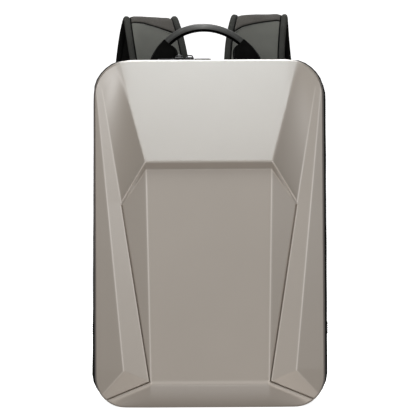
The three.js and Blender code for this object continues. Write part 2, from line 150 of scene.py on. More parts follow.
def loft(name, rings, round_ring=True, round_path=False, skip=None, slot_of=None):
    """A skin through rings of points. skip leaves faces out, and slot_of gives a face its material."""
    count = len(rings[0])
    along = [0.0]
    for near, far in zip(rings, rings[1:]):
        along.append(along[-1] + sum((b - a).length for a, b in zip(near, far)) / count)
    if round_path:
        along.append(along[-1] + (rings[0][0] - rings[-1][0]).length)
    widest = max(rings, key=path_length)
    across = [0.0]
    for a, b in zip(widest, widest[1:] + widest[:1]):
        across.append(across[-1] + (b - a).length)
    faces, uvs, indices = [], [], []
    for r in range(len(rings) if round_path else len(rings) - 1):
        far = (r + 1) % len(rings)
        for i in range(count if round_ring else count - 1):
            if skip and skip(r, i):
                continue
            j = (i + 1) % count
            faces.append((r * count + i, r * count + j, far * count + j, far * count + i))
            uvs.append([(along[r], across[i]), (along[r], across[i + 1]),
                        (along[r + 1], across[i + 1]), (along[r + 1], across[i])])
            indices.append(slot_of(r, i) if slot_of else 0)
    if round_ring and not round_path:
        for r, order in ((0, range(count - 1, -1, -1)), (len(rings) - 1, range(count))):
            faces.append(tuple(r * count + i for i in order))
            uvs.append([(along[r] + MM * k, across[i]) for k, i in enumerate(order)])
            indices.append(0)
    return mesh_of(name, [p for ring in rings for p in ring], faces, uvs, indices)


def border(height, count):
    """The places round the edge of a grid of points, listed row by row."""
    loop = list(range(count)) + [r * count + count - 1 for r in range(1, height)]
    loop += [(height - 1) * count + c for c in range(count - 2, -1, -1)]
    return loop + [r * count for r in range(height - 2, 0, -1)]


def grid_faces(total, count):
    """Faces over a grid of points, listed row by row."""
    corners = [a for a in range(total - count) if a % count < count - 1]
    return [(a, a + count, a + count + 1, a + 1) for a in corners]


def band(near, far):
    """Faces between two closed loops of points."""
    after = [(k + 1) % len(near) for k in range(len(near))]
    return [(near[i], near[j], far[j], far[i]) for i, j in enumerate(after)]


def face_out(mesh):
    """Turns a closed mesh's faces outwards."""
    edit = bmesh.new()
    edit.from_mesh(mesh)
    bmesh.ops.recalc_face_normals(edit, faces=edit.faces)
    edit.to_mesh(mesh)
    edit.free()
    return mesh


def turn_out(mesh, way_of):
    """Turns an open skin's faces so that most of them look the way that is right for each."""
    if sum(face.normal.dot(way_of(face)) * face.area for face in mesh.polygons) < 0:
        mesh.flip_normals()
    return mesh


def thicken(made, thickness):
    wall = made.modifiers.new("wall", "SOLIDIFY")
    wall.thickness = thickness
    wall.offset = -1


def add_loft(name, rings, materials, slot, node=None, smooth_angle=35, **shape):
    """A closed skin through rings as a piece. shape holds the settings of its loft."""
    return add_object(name, face_out(loft(name, rings, **shape)), materials, node, smooth_angle)


def smooth_path(points, steps):
    """A curve through the points, with that many steps between each two."""
    made = []
    for k in range(len(points) - 1):
        p0 = points[max(k - 1, 0)]
        p1, p2 = points[k], points[k + 1]
        p3 = points[min(k + 2, len(points) - 1)]
        for s in range(steps):
            t = s / steps
            made.append(0.5 * (2 * p1 + (p2 - p0) * t + (2 * p0 - 5 * p1 + 4 * p2 - p3) * t * t
                               + (3 * p1 - p0 - 3 * p2 + p3) * t ** 3))
    return made + [points[-1]]


def way_at(path, k, round_path=False):
    """The direction of a path at one of its points."""
    if round_path:
        return (path[(k + 1) % len(path)] - path[k - 1]).normalized()
    return (path[min(k + 1, len(path) - 1)] - path[max(k - 1, 0)]).normalized()


def square_to(across, way):
    """The part of a direction that is square to the way."""
    return (across - way * across.dot(way)).normalized()


def section_ring(middle, across, out, power, sides, phase):
    """Points round a section with two half-widths: an oval at power 1, and nearer a box below that."""
    ring = []
    for n in range(sides):
        turn = math.tau * (n + phase) / sides
        ring.append(middle + across * signed_power(math.cos(turn), power)
                    + out * signed_power(math.sin(turn), power))
    return ring


def bar_rings(path, half_across, half_out, across, power=0.5, sides=16, phase=0.5, round_path=False):
    """The sections of a rounded bar along a path."""
    rings = []
    for k, p in enumerate(path):
        way = way_at(path, k, round_path)
        side = square_to(across, way)
        out = side.cross(way)
        rings.append(section_ring(p, side * half_across, out * half_out, power, sides, phase))
    return rings


def rounded_loop(half_x, half_y, corner, steps=5):
    """A flat loop with round corners, as x and y pairs."""
    loop = []
    for cx, cy, start in ((1, 1, 0), (-1, 1, 90), (-1, -1, 180), (1, -1, 270)):
        for k in range(steps + 1):
            turn = math.radians(start + 90 * k / steps)
            loop.append((cx * (half_x - corner) + corner * math.cos(turn),
                         cy * (half_y - corner) + corner * math.sin(turn)))
    return loop


# The stitches of each seam and the turns of the zip's coil, in millimetres: pitch, length and radius
STITCHES = {
    "side_wall": (4.2, 3.0, 0.32),
    "zip_coil": (1.25, 4.4, 0.75),
    "zip_tab": (3.0, 2.1, 0.3),
    "handle_roll": (3.4, 2.4, 0.3),
    "handle_boot": (3.0, 2.1, 0.32),
    "strap": (3.6, 2.6, 0.3),
    "back_pad": (4.5, 3.2, 0.35),
    "anchor_tab": (3.0, 2.2, 0.3),
}


def stitch_line(kind, path, ups):
    """Places along a seam, each with its way along and up. ups is one direction, or one for each point."""
    made = []
    pitch = STITCHES[kind][0] * MM
    due, run = pitch / 2, 0.0
    for k, (a, b) in enumerate(zip(path, path[1:])):
        step = (b - a).length
        while step > 0 and due <= run + step:
            up = ups if isinstance(ups, Vector) else ups[k]
            made.append((a.lerp(b, (due - run) / step), (b - a).normalized(), up))
            due += pitch
        run += step
    return made


# A stitch from end to end: each ring's place along it and its share of the thread's radius
STITCH_RINGS = ((-0.5, 0.35), (-0.28, 1.0), (0.28, 1.0), (0.5, 0.35))
STITCH_SIDES = 6


def add_threads(name, kind, stitches, thread):
    """Stitches, or turns of the coil, as one piece."""
    length, radius = [size * MM for size in STITCHES[kind][1:]]
    points, faces = [], []
    for place, way, up in stitches:
        side = way.cross(up).normalized()
        rings = []
        for along, share in STITCH_RINGS:
            rings.append(range(len(points), len(points) + STITCH_SIDES))
            for k in range(STITCH_SIDES):
                turn = math.tau * k / STITCH_SIDES
                off = side * math.cos(turn) + up * math.sin(turn)
                points.append(place + way * (length * along) + off * (radius * share))
        for near, far in zip(rings, rings[1:]):
            faces += band(near, far)
        faces += [tuple(reversed(rings[0])), tuple(rings[-1])]
    add_object(name, face_out(mesh_of(name, points, faces)), [thread])


def add_stitches(name, kind, seams, thread):
    """Thread stitches along seams as one piece. Each seam is a path and the way up from it."""
    stitches = [stitch for path, ups in seams for stitch in stitch_line(kind, path, ups)]
    add_threads(name, kind, stitches, thread)


# Materials

def new_material(name, **values):
    material = bpy.data.materials.new(name)
    material.use_nodes = True
    shader = material.node_tree.nodes["Principled BSDF"]
    for socket, value in values.items():
        shader.inputs[socket.replace("_", " ")].default_value = value
    return material, material.node_tree, shader


def add_node(tree, kind, inputs, **settings):
    """A shader node. Each input, by name or place, gets a value or a link."""
    made = tree.nodes.new("ShaderNode" + kind)
    for name, value in settings.items():
        setattr(made, name, value)
    for name, value in inputs.items():
        if isinstance(value, bpy.types.NodeSocket):
            tree.links.new(value, made.inputs[name])
        else:
            made.inputs[name].default_value = value
    return made


def calc(tree, operation, a, b=0.0):
    return add_node(tree, "Math", {0: a, 1: b}, operation=operation).outputs[0]


def object_place(tree):
    return add_node(tree, "TexCoord", {}).outputs["Object"]


def grain_of(tree, scale, detail):
    inputs = {"Scale": scale, "Detail": detail, "Vector": object_place(tree)}
    return add_node(tree, "TexNoise", inputs).outputs["Fac"]


def colour_ramp(tree, factor, low, high, start, end):
    made = add_node(tree, "ValToRGB", {"Fac": factor})
    for stop, position, colour in zip(made.color_ramp.elements, (start, end), (low, high)):
        stop.position = position
        stop.color = (*colour, 1)
    return made.outputs["Color"]


def value_range(tree, factor, low, high):
    return add_node(tree, "MapRange", {"Value": factor, "To Min": low, "To Max": high}).outputs["Result"]


def point_share(tree, name):
    return add_node(tree, "Attribute", {}, attribute_name=name).outputs["Fac"]


def tinted(tree, base, share, tint):
    return add_node(tree, "Mix", {0: share, 6: base, 7: (*tint, 1)}, data_type="RGBA").outputs[2]


def finish_material(tree, shader, colour, height, strength, distance, roughness=None):
    """Links a material's colour, its bump and, where it varies, its roughness."""
    tree.links.new(colour, shader.inputs["Base Color"])
    if roughness:
        tree.links.new(roughness, shader.inputs["Roughness"])
    relief = add_node(tree, "Bump", {"Strength": strength, "Distance": distance, "Height": height})
    tree.links.new(relief.outputs["Normal"], shader.inputs["Normal"])


def weave_height(tree, thread):
    """A plain weave over the texture map: threads that pass over and under each other."""
    uv = add_node(tree, "UVMap", {}, uv_map="UVMap").outputs["UV"]
    parts = add_node(tree, "SeparateXYZ", {0: uv})
    u, v = [calc(tree, "DIVIDE", parts.outputs[axis], thread) for axis in "XY"]
    cells = calc(tree, "ADD", calc(tree, "FLOOR", u), calc(tree, "FLOOR", v))
    over = calc(tree, "FLOORED_MODULO", cells, 2.0)
    under = calc(tree, "SUBTRACT", 1.0, over)
    bows = []
    for place, share in ((u, over), (v, under)):
        wave = calc(tree, "SINE", calc(tree, "MULTIPLY", place, math.pi))
        bows.append(calc(tree, "MULTIPLY", calc(tree, "ABSOLUTE", wave), share))
    return calc(tree, "ADD", *bows)


def woven(name, low, high, thread, specular=0.12, strength=0.5):
    """Woven cloth: its colours between the threads and on them, and the thread's width in millimetres."""
    material, tree, shader = new_material(name, Roughness=0.88, Specular_IOR_Level=specular)
    height = weave_height(tree, thread * MM)
    tone = calc(tree, "MULTIPLY", height, value_range(tree, grain_of(tree, 38, 4), 0.6, 1.25))
    colour = colour_ramp(tree, tone, low, high, 0.1, 0.9)
    finish_material(tree, shader, colour, height, strength, thread * MM * 0.35)
    return material


def shell_paint():
    """A satin coating with a fine grain, lighter by painted highlights and darker by painted shade, from
    the mesh's painted_light_and_shade.
    """
    material, tree, shader = new_material("shell_paint", IOR=2.77)
    coat = colour_ramp(tree, grain_of(tree, 9, 2), (0.366, 0.314, 0.261), (0.384, 0.33, 0.275), 0.3, 0.7)
    painted_levels = point_share(tree, "painted_light_and_shade")
    # Painted highlight where the mesh's value is above zero, and painted shade where it is below
    coat = tinted(tree, coat, painted_levels, (0.78, 0.72, 0.66))
    coat = tinted(tree, coat, calc(tree, "MULTIPLY", painted_levels, -1.0), (0.06, 0.043, 0.032))
    grain = grain_of(tree, 2600, 2)
    finish_material(tree, shader, coat, grain, 0.08, 0.2 * MM, value_range(tree, grain, 0.37, 0.43))
    return material


def moulded(name, colour, roughness, metallic=0.0):
    """Hard plastic, metal or waxed thread with a fine fleck."""
    material, tree, shader = new_material(name, Metallic=metallic)
    fleck = grain_of(tree, 700, 3)
    low, high = [tuple(c * share for c in colour) for share in (0.8, 1.2)]
    rough = value_range(tree, fleck, roughness - 0.06, roughness + 0.06)
    flecked = colour_ramp(tree, fleck, low, high, 0.3, 0.7)
    finish_material(tree, shader, flecked, fleck, 0.12, 0.2 * MM, rough)
    return material


def leather(name, low, high, specular, painted_light_tint=None):
    """Fine pebbled leather. A painted highlight tint shows where the mesh's painted_apex_light is high."""
    material, tree, shader = new_material(name, Specular_IOR_Level=specular)
    pebbles = add_node(tree, "TexVoronoi", {"Scale": 900, "Vector": object_place(tree)}).outputs["Distance"]
    worn = grain_of(tree, 60, 4)
    hide = colour_ramp(tree, worn, low, high, 0.3, 0.75)
    # Painted highlight: the hide lightens towards the tint where the mesh's value is high
    if painted_light_tint:
        hide = tinted(tree, hide, point_share(tree, "painted_apex_light"), painted_light_tint)
    finish_material(tree, shader, hide, pebbles, 0.35, 0.3 * MM, value_range(tree, worn, 0.42, 0.58))
    return material


def grey(value):
    return (value, value, value)


SHELL = shell_paint()
SIDE_CLOTH = woven("side_cloth", grey(0.003), (0.018, 0.018, 0.017), 0.7, specular=0.05)
BACK_MESH = woven("back_mesh", grey(0.011), (0.09, 0.09, 0.087), 2.0, strength=0.9)
TAPE_CLOTH = woven("tape_cloth", grey(0.002), grey(0.012), 0.5)
STRAP_CLOTH = woven("strap_cloth", (0.082, 0.082, 0.074), (0.246, 0.246, 0.221), 0.8)
YOKE_CLOTH = woven("yoke_cloth", (0.053, 0.049, 0.044), (0.15, 0.139, 0.126), 0.8)
BINDING_CLOTH = woven("binding_cloth", (0.023, 0.023, 0.02), (0.088, 0.088, 0.081), 0.6)
LINING_MESH = woven("lining_mesh", grey(0.001), (0.008, 0.008, 0.0075), 1.6, strength=0.8)
WEBBING = woven("webbing", grey(0.001), grey(0.003), 1.1, specular=0.02, strength=0.8)
# The grip's last colour is its painted highlight tint, laid over the top of the arch
GRIP = leather("grip", (0.03, 0.03, 0.028), (0.06, 0.06, 0.056), 0.4, (0.25, 0.244, 0.235))
FOOT_HIDE = leather("foot_hide", (0.002, 0.002, 0.0016), (0.005, 0.005, 0.0043), 0.03)
BUCKLE = moulded("buckle", grey(0.008), 0.42)
COIL = moulded("coil", grey(0.006), 0.38)
GUNMETAL = moulded("gunmetal", (0.06, 0.06, 0.061), 0.3, 0.9)
DARK_THREAD = moulded("dark_thread", grey(0.012), 0.7)
GREY_THREAD = moulded("grey_thread", (0.05, 0.05, 0.047), 0.7)


# The bag's outline, seen from the front

def half_outline(inset):
    """The right half's stretches: along the top, round its corner, down the side, and on to the base."""
    return [WIDTH / 2 - TOP_CORNER, (TOP_CORNER - inset) * math.pi / 2, HEIGHT - TOP_CORNER - BOTTOM_CORNER,
            (BOTTOM_CORNER - inset) * math.pi / 2, WIDTH / 2 - BOTTOM_CORNER]


def outline_at(run, inset=0.0):
    """The right half's point at a run from the middle of the top, and the way out there, in x and z."""
    top, top_arc, side, bottom_arc, base = half_outline(inset)
    if run < top:
        return (run, HEIGHT - inset), (0.0, 1.0)
    run -= top
    if run < top_arc:
        reach = TOP_CORNER - inset
        out = (math.sin(run / reach), math.cos(run / reach))
        return (WIDTH / 2 - TOP_CORNER + reach * out[0], HEIGHT - TOP_CORNER + reach * out[1]), out
    run -= top_arc
    if run < side:
        return (WIDTH / 2 - inset, HEIGHT - TOP_CORNER - run), (1.0, 0.0)
    run -= side
    if run < bottom_arc:
        reach = BOTTOM_CORNER - inset
        out = (math.cos(run / reach), -math.sin(run / reach))
        return (WIDTH / 2 - BOTTOM_CORNER + reach * out[0], BOTTOM_CORNER + reach * out[1]), out
    return (max(base - (run - bottom_arc), 0.0), inset), (0.0, -1.0)


def outline_run(x, z, inset):
    """How far round the right half the outline passes nearest to a point."""
    total, steps = sum(half_outline(inset)), 4000
    runs = [total * k / steps for k in range(steps + 1)]
    return min(runs, key=lambda run: math.dist(outline_at(run, inset)[0], (x, z)))


def stations(spacing):
    """Stations all round the outline, down the right side and up the left, each with its outward way."""
    total = sum(half_outline(0))
    steps = round(total / spacing)
    right = [outline_at(total * k / steps) for k in range(steps + 1)]
    left = [((-x, z), (-out_x, out_z)) for (x, z), (out_x, out_z) in reversed(right[1:-1])]
    return right + left


# The hard shell: its creases as rows from the top edge to the bottom edge, in millimetres.
# Each row gives the half-width, height and rise of the ridge, the valley and the middle panel's edge.
RIDGE, VALLEY, EDGE = 0, 1, 2
RELIEF_ROWS = {
    "crest": ((162, 440, 3), (154, 443, 4), (126.3, 480, -3)),
    "shoulder": ((146, 412.5, 8), (138.5, 413.5, 9.9), (115.4, 441, 10.9)),
    "brow": ((131.8, 266, 16.8), (113.7, 266, 21.3), (81, 317, 55)),
    "tip": ((131.4, 262, 17.1), (112.8, 262, 21.8), (80.4, 307.8, 43.5)),
    "foot": ((111, 49.6, 34.5), (77.2, 36.2, 44.2), (75.6, 37.5, 45.5)),
    "toe": ((151.8, 4.2, 7), (151, 3, 7.6), (76.9, -12, -10)),
}
ROW_STEPS = {"crest": 8, "shoulder": 36, "brow": 1, "tip": 1, "foot": 1, "toe": 1}
SIDE_X, SIDE_SLOPE = 178, 0.62
# The facet below the top corner's sloping edge: how deep its hollow is, and the strips across it
HOLLOW, HOLLOW_STRIPS = 0.6, 8
# The creases' rounding, which grows between two heights near the top, and more of it by the middle panel
CREASE_RADIUS, SOFT_RADIUS = 1.5, 8
SOFT_FROM, SOFT_TO = 395, 450
PANEL_EDGE = {"extra": 0.9, "reach": 6}
# Points over which the rise is averaged: each ring's share of the radius, and how many
ROUNDING_RINGS = ((0.4, 6), (0.7, 10), (1.0, 14))
# A lip runs under the middle panel and beside the corner grooves, and a facet falls from it to the rim.
LIP = {"width": 5.2, "fall": 1.3}
LIP_FOOT_RISE, LIP_FOOT_BOW = 15.0, 0.7
BEAD = {"height": 0.9, "place": 1.0, "half": 1.0, "dip": 0.8, "dip_place": -1.1, "dip_half": 0.9}
# The groove along the valley: at each row, how deep it is and how much painted shade darkens its floor
GROOVE_ROWS = (("tip", 2.0, 0.25), ("foot", 3.3, 0.6), ("toe", 2.6, 0.5))
GROOVE_HALF = 1.0
# The grid's lines: their distances from a crease, and how many lie between those, by row and by column
SUPPORT = (0.45, 1.0, 1.8, 3.0)
ROW_MIDS = (2, 22, 3, 16, 13)
COLUMN_MIDS = (4, 3, 10, 8)


def faceted_surface():
    """The shell's sharp facets, reaching past its outline, as a tree that gives the rise anywhere."""
    names = list(RELIEF_ROWS)
    points, faces = [], []
    for name, after in zip(names, names[1:] + names[-1:]):
        for s in range(ROW_STEPS[name]):
            t = s / ROW_STEPS[name]
            pairs = zip(RELIEF_ROWS[name], RELIEF_ROWS[after])
            ridge, valley, edge = [Vector(a).lerp(Vector(b), t) for a, b in pairs]
            side = Vector((SIDE_X, ridge.y, ridge.z - SIDE_SLOPE * (SIDE_X - ridge.x)))
            hollow = HOLLOW * min(t / 0.6, 1, 0.35 + (1 - t) / 0.3) if name == "shoulder" else 0.0
            row = [side, ridge, valley]
            for k in range(1, HOLLOW_STRIPS):
                u = k / HOLLOW_STRIPS
                row.append(valley.lerp(edge, u) - Vector((0, 0, hollow * 4 * u * (1 - u))))
            row += [edge, Vector((0, edge.y, edge.z))]
            points += [Vector((p.x, -p.z, p.y)) for p in row]
    count = len(row)
    for a in range(len(points) - count):
        if a % count < count - 1:
            faces += [(a, a + 1, a + count), (a + 1, a + 1 + count, a + count)]
    return BVHTree.FromPolygons(points, faces)


def lip_line():
    """The lip's upper edge from the middle to the outline: each point, and the lip's height there."""
    valley, edge = RELIEF_ROWS["foot"][VALLEY], RELIEF_ROWS["foot"][EDGE]
    points = [Vector((0, *edge[1:])), Vector(edge), Vector(valley), Vector(RELIEF_ROWS["toe"][VALLEY])]
    steep = LIP["width"] / abs((points[3] - points[2]).xy.normalized().x)
    return list(zip(points, (LIP["width"], LIP["width"], steep, steep)))


FACETS = faceted_surface()
LIP_LINE = lip_line()


def lower_rise(x, z):
    """The rise on the lip and the facet under it, or nothing for a point above them."""
    for (near, drop_near), (far, drop_far) in zip(LIP_LINE, LIP_LINE[1:]):
        if x <= far.x:
            break
    share = (x - near.x) / (far.x - near.x)
    top = near.lerp(far, share)
    if z >= top.y:
        return None
    low = top.y - blend(drop_near, drop_far, share)
    low_rise = top.z - LIP["fall"]
    if z >= low:
        return blend(low_rise, top.z, (z - low) / (top.y - low))
    rim = min(LIP_FOOT_RISE, low_rise - 1)
    return blend(rim, low_rise, max(z / low, 0) ** LIP_FOOT_BOW)


def sharp_rise(x, z):
    lower = lower_rise(abs(x), z)
    if lower is not None:
        return lower
    hit = FACETS.ray_cast(Vector((abs(x), -500, z)), BACKWARDS)[0]
    return -hit.y if hit else 0.0


def bead_rise(x, z):
    """The moulded bead that edges the hollow facet, with a fine dip under it."""
    share, near, side = beside(abs(x), z, RELIEF_ROWS["brow"][VALLEY], RELIEF_ROWS["brow"][EDGE])
    if not 0.0 < share < 1.0:
        return 0.0
    fade = min(1.0, share / 0.12, (1 - share) / 0.06)
    bead = BEAD["height"] * bell(-side * near, BEAD["place"], BEAD["half"])
    dip = BEAD["dip"] * bell(-side * near, BEAD["dip_place"], BEAD["dip_half"])
    return fade * (bead - dip)


def groove_at(x, z):
    """How deep the groove is at a point, and how much painted shade it gets."""
    depth, shade = 0.0, 0.0
    for (row_a, depth_a, shade_a), (row_b, depth_b, shade_b) in zip(GROOVE_ROWS, GROOVE_ROWS[1:]):
        share, near, side = beside(abs(x), z, RELIEF_ROWS[row_a][VALLEY], RELIEF_ROWS[row_b][VALLEY])
        depth = max(depth, blend(depth_a, depth_b, share) * max(0.0, 1 - near / GROOVE_HALF) ** 0.8)
        shade = max(shade, blend(shade_a, shade_b, share) * bell(near, 0, 0.55 * GROOVE_HALF))
    return depth, shade


def rounded_rise(x, z):
    """The rise with the creases rounded over: the mean over a disc, which grows towards the top edge."""
    height = clamp((z - SOFT_FROM) / (SOFT_TO - SOFT_FROM))
    near = beside(abs(x), z, RELIEF_ROWS["tip"][EDGE], RELIEF_ROWS["foot"][EDGE])[1]
    radius = blend(CREASE_RADIUS, SOFT_RADIUS, height ** 1.5)
    radius += PANEL_EDGE["extra"] * max(0.0, 1 - near / PANEL_EDGE["reach"])
    rises = [sharp_rise(x, z)] * 2
    for share, spokes in ROUNDING_RINGS:
        for k in range(spokes):
            turn = math.tau * (k + 0.5 * (share < 1)) / spokes
            off = radius * share
            rises.append(sharp_rise(x + off * math.cos(turn), z + off * math.sin(turn)))
    return sum(rises) / len(rises) - groove_at(x, z)[0] + bead_rise(x, z)


def spread(length, mids):
    """Shares along a stretch: close together near both ends, where the creases are, and even between."""
    room = min(1.0, length / (2.6 * SUPPORT[-1]))
    near = [s * room / length for s in SUPPORT]
    start, end = near[-1], 1 - near[-1]
    middle = [blend(start, end, (k + 1) / (mids + 1)) for k in range(mids)]
    return [0.0] + near + middle + [1 - s for s in reversed(near)] + [1.0]


RIM_INSET = 2.8 * MM
# Where the rows and columns of creases meet the outline, near these places
CREST_ENDS = ((147.2, 408), (146.5, 413), (143, 424))
TOE_ENDS = ((146, 24), (137.5, 20.5), (132, 12.8), (76.9, 0))
RIM_ENDS = ((150, 396), (150, 266), (150, 262), (150, 49.6))
# The shoulder's ridge and valley start a little lower in the grid than in the relief.
SHOULDER_ENDS = [Vector((144.9, 401.2)), Vector((136.6, 402))]


def shell_plan():
    """Places of the shell's front points in its plan, on one half, row by row, in millimetres."""
    def snap(x, z):
        return outline_run(x * MM, z * MM, RIM_INSET)

    def on_edge(run):
        return Vector(outline_at(run, RIM_INSET)[0]) / MM

    def bow(runs, k, share, start, end):
        """How far the outline lies off the straight line between two of its points."""
        return on_edge(blend(runs[k], runs[k + 1], share)) - start.lerp(end, share)

    inner = {name: [Vector(p[:2]) for p in row] for name, row in RELIEF_ROWS.items()}
    inner["shoulder"][:2] = SHOULDER_ENDS
    crest_edge = inner["shoulder"][EDGE].lerp(inner["crest"][EDGE], 0.2)
    # Columns are the rim, ridge, valley, edge and middle.
    crest_runs = [snap(*place) for place in (*CREST_ENDS, crest_edge)] + [0.0]
    toe_runs = [snap(*place) for place in TOE_ENDS] + [sum(half_outline(RIM_INSET))]
    rim_runs = [crest_runs[0]] + [snap(*place) for place in RIM_ENDS] + [toe_runs[0]]
    corners = [[on_edge(run) for run in crest_runs]]
    for name, run in zip(list(inner)[1:-1], rim_runs[1:-1]):
        corners.append([on_edge(run)] + inner[name] + [Vector((0, inner[name][EDGE].y))])
    corners.append([on_edge(run) for run in toe_runs])
    last = len(corners) - 2

    def patch(r, c):
        """The points between two rows and two columns. A side that lies on the outline follows it."""
        a, b = corners[r][c:c + 2]
        d, e = corners[r + 1][c:c + 2]
        top, bottom = [spread((q - p).length, COLUMN_MIDS[c]) for p, q in ((a, b), (d, e))]
        left, right = [spread((q - p).length, ROW_MIDS[r]) for p, q in ((a, d), (b, e))]
        lines = []
        for left_v, right_v in zip(left, right):
            line = []
            for top_u, bottom_u in zip(top, bottom):
                lean_u, lean_v = bottom_u - top_u, right_v - left_v
                u = (top_u + left_v * lean_u) / (1 - lean_u * lean_v)
                v = left_v + u * lean_v
                place = a.lerp(b, u).lerp(d.lerp(e, u), v)
                if r == 0:
                    place = place + bow(crest_runs, c, u, a, b) * (1 - v)
                if r == last:
                    place = place + bow(toe_runs, c, u, d, e) * v
                if c == 0:
                    place = place + bow(rim_runs, r, v, a, d) * (1 - u)
                line.append(place)
            lines.append(line)
        return lines

    rows = []
    for r in range(last + 1):
        patches = [patch(r, c) for c in range(len(COLUMN_MIDS))]
        for m in range(1 if r else 0, len(patches[0])):
            rows.append(patches[0][m] + [p for lines in patches[1:] for p in lines[m][1:]])
    return rows


# The rim's profile from the front out to the outline: width of each step, and how far it has turned
# from the front's own slope to the rim's steep band
RIM_STEPS = ((0.2, 0.4), (0.2, 0.8), (0.6, 1.0), (0.7, 1.0), (0.7, 1.0), (0.4, 1.5))
RIM_STEEP, RIM_STEEPEST = math.radians(66), math.radians(80)
RIM_FLOOR = 1.2
SHELL_WALL = 2.4 * MM


def rim_profile(lean, room):
    """Steps out and back, in millimetres, over the rim. The room limits how far back it may go."""
    off, drop, steps = 0.0, 0.0, []
    for width, turn in RIM_STEPS:
        off += width
        drop += width * math.tan(min(blend(lean, RIM_STEEP, turn), RIM_STEEPEST))
        steps.append((off, drop))
    scale = min(1.0, room / drop)
    return [(off, drop * scale) for off, drop in steps]


# Painted highlights as fine light lines along the creases: both ends, and the strength at each
CREASE_LINES = (
    ("shoulder", RIDGE, "brow", RIDGE, 0.3, 0.8),
    ("brow", RIDGE, "tip", RIDGE, 0.8, 0.8),
    ("tip", RIDGE, "foot", RIDGE, 0.8, 0.8),
    ("foot", RIDGE, "toe", RIDGE, 0.45, 0.1),
    ("shoulder", VALLEY, "brow", VALLEY, 0.25, 0.9),
    ("tip", EDGE, "foot", EDGE, 0.75, 0.6),
    ("brow", VALLEY, "brow", EDGE, 0.5, 0.8),
)
SHINE_HALF = 0.8
# Painted highlights along the fin beside the groove, on the lip and on the strip under the groove, and
# painted shade under the brow. Places and widths on the lip and the strip are shares of the lip's width.
FIN_SHINE = {"tip": 0.4, "foot": 0.45, "place": 1.6, "half": 0.6}
LIP_SHINE = {"most": 0.34, "place": 0.45, "half": 0.42}
STRIP_SHINE = {"most": 0.2, "place": 0.6, "half": 0.4}
BROW_SHADE = 0.22
# Painted highlight along the top of the rim, and painted shade along its sides
RIM_SHINE, RIM_SHADE = 0.5, 0.8


def row_height(name, x):
    """The height of a row of the relief over a place across the front, inside its valley."""
    valley, edge = RELIEF_ROWS[name][VALLEY], RELIEF_ROWS[name][EDGE]
    return blend(edge[1], valley[1], clamp((x - edge[0]) / (valley[0] - edge[0])))


def painted_light_and_shade(x, z):
    """The painted highlight on the coat at a point of the front, or painted shade where it is negative."""
    x = abs(x)
    lights = []
    for row_a, column_a, row_b, column_b, first, last in CREASE_LINES:
        share, near, side = beside(x, z, RELIEF_ROWS[row_a][column_a], RELIEF_ROWS[row_b][column_b])
        lights.append(blend(first, last, share) * bell(near, 0, SHINE_HALF))
    valley, edge = RELIEF_ROWS["foot"][VALLEY], RELIEF_ROWS["foot"][EDGE]
    share, near, side = beside(x, z, RELIEF_ROWS["tip"][VALLEY], valley)
    if side > 0 and 0 < share < 1:
        most = blend(FIN_SHINE["tip"], FIN_SHINE["foot"], share)
        lights.append(most * bell(near, FIN_SHINE["place"], FIN_SHINE["half"]))
    if x < valley[0]:
        down = (edge[1] - z) / LIP["width"]
        lights.append(LIP_SHINE["most"] * bell(down, LIP_SHINE["place"], LIP_SHINE["half"]))
    else:
        share, near, side = beside(x, z, valley, RELIEF_ROWS["toe"][VALLEY])
        if side < 0:
            down = near / LIP["width"]
            lights.append(STRIP_SHINE["most"] * bell(down, STRIP_SHINE["place"], STRIP_SHINE["half"]))
    # Painted shade along the groove's floor and under the brow
    dark = groove_at(x, z)[1]
    if x < RELIEF_ROWS["tip"][VALLEY][0] and row_height("tip", x) < z < row_height("brow", x):
        dark = max(dark, BROW_SHADE)
    return max(lights) - dark


def rim_painted_light_and_shade(away):
    """Painted highlight along the top of the rim, and painted shade along its sides."""
    return RIM_SHINE * smooth_step(away.z, 0.85, 0.995) - RIM_SHADE * smooth_step(abs(away.x), 0.78, 0.97)


def make_shell():
    rows = [[Vector((-p.x, p.y)) for p in row] + row[-2::-1] for row in shell_plan()]
    count, height = len(rows[0]), len(rows)
    points, painted_levels = [], []
    for p in (p for row in rows for p in row):
        points.append(Vector((p.x * MM, RIM_Y - rounded_rise(p.x, p.y) * MM, p.y * MM)))
        # Painted highlights and painted shade for the coat, point by point
        painted_levels.append(painted_light_and_shade(p.x, p.y))
    faces = grid_faces(len(points), count)
    # The rim: the front turns over a round edge into a short side wall, all the way round.
    rings = [border(height, count)]
    edges = []
    for p in (points[i] for i in rings[0]):
        x, z = abs(p.x) / MM, p.z / MM
        out_x, out_z = outline_at(outline_run(abs(p.x), p.z, RIM_INSET), RIM_INSET)[1]
        slope = max(sharp_rise(x, z) - sharp_rise(x + out_x, z + out_z), 0.05)
        profile = rim_profile(math.atan(slope), (RIM_Y - p.y) / MM - RIM_FLOOR)
        edges.append((p, Vector((math.copysign(out_x, p.x), 0, out_z)), profile))
    for k in range(len(RIM_STEPS) + 2):
        ring = []
        for p, away, profile in edges:
            off, drop = profile[min(k, len(RIM_STEPS) - 1)]
            place = p + away * (off * MM) + Vector((0, drop * MM, 0))
            if k >= len(RIM_STEPS):
                place.y = blend(place.y, RIM_Y, (k + 1 - len(RIM_STEPS)) / 2)
            ring.append(len(points))
            points.append(place)
            # Painted highlight along the top of the rim and painted shade down its sides, growing over the
            # first two steps
            painted_levels.append(rim_painted_light_and_shade(away) * min(k / 2, 1))
        rings.append(ring)
    for near, far in zip(rings, rings[1:]):
        faces += band(near, far)
    mesh = mesh_of("shell_skin", points, faces)
    store_shares(mesh, "painted_light_and_shade", painted_levels)
    shell = add_object("shell_skin", mesh, [SHELL], "front_shell", 60)
    thicken(shell, SHELL_WALL)


make_shell()

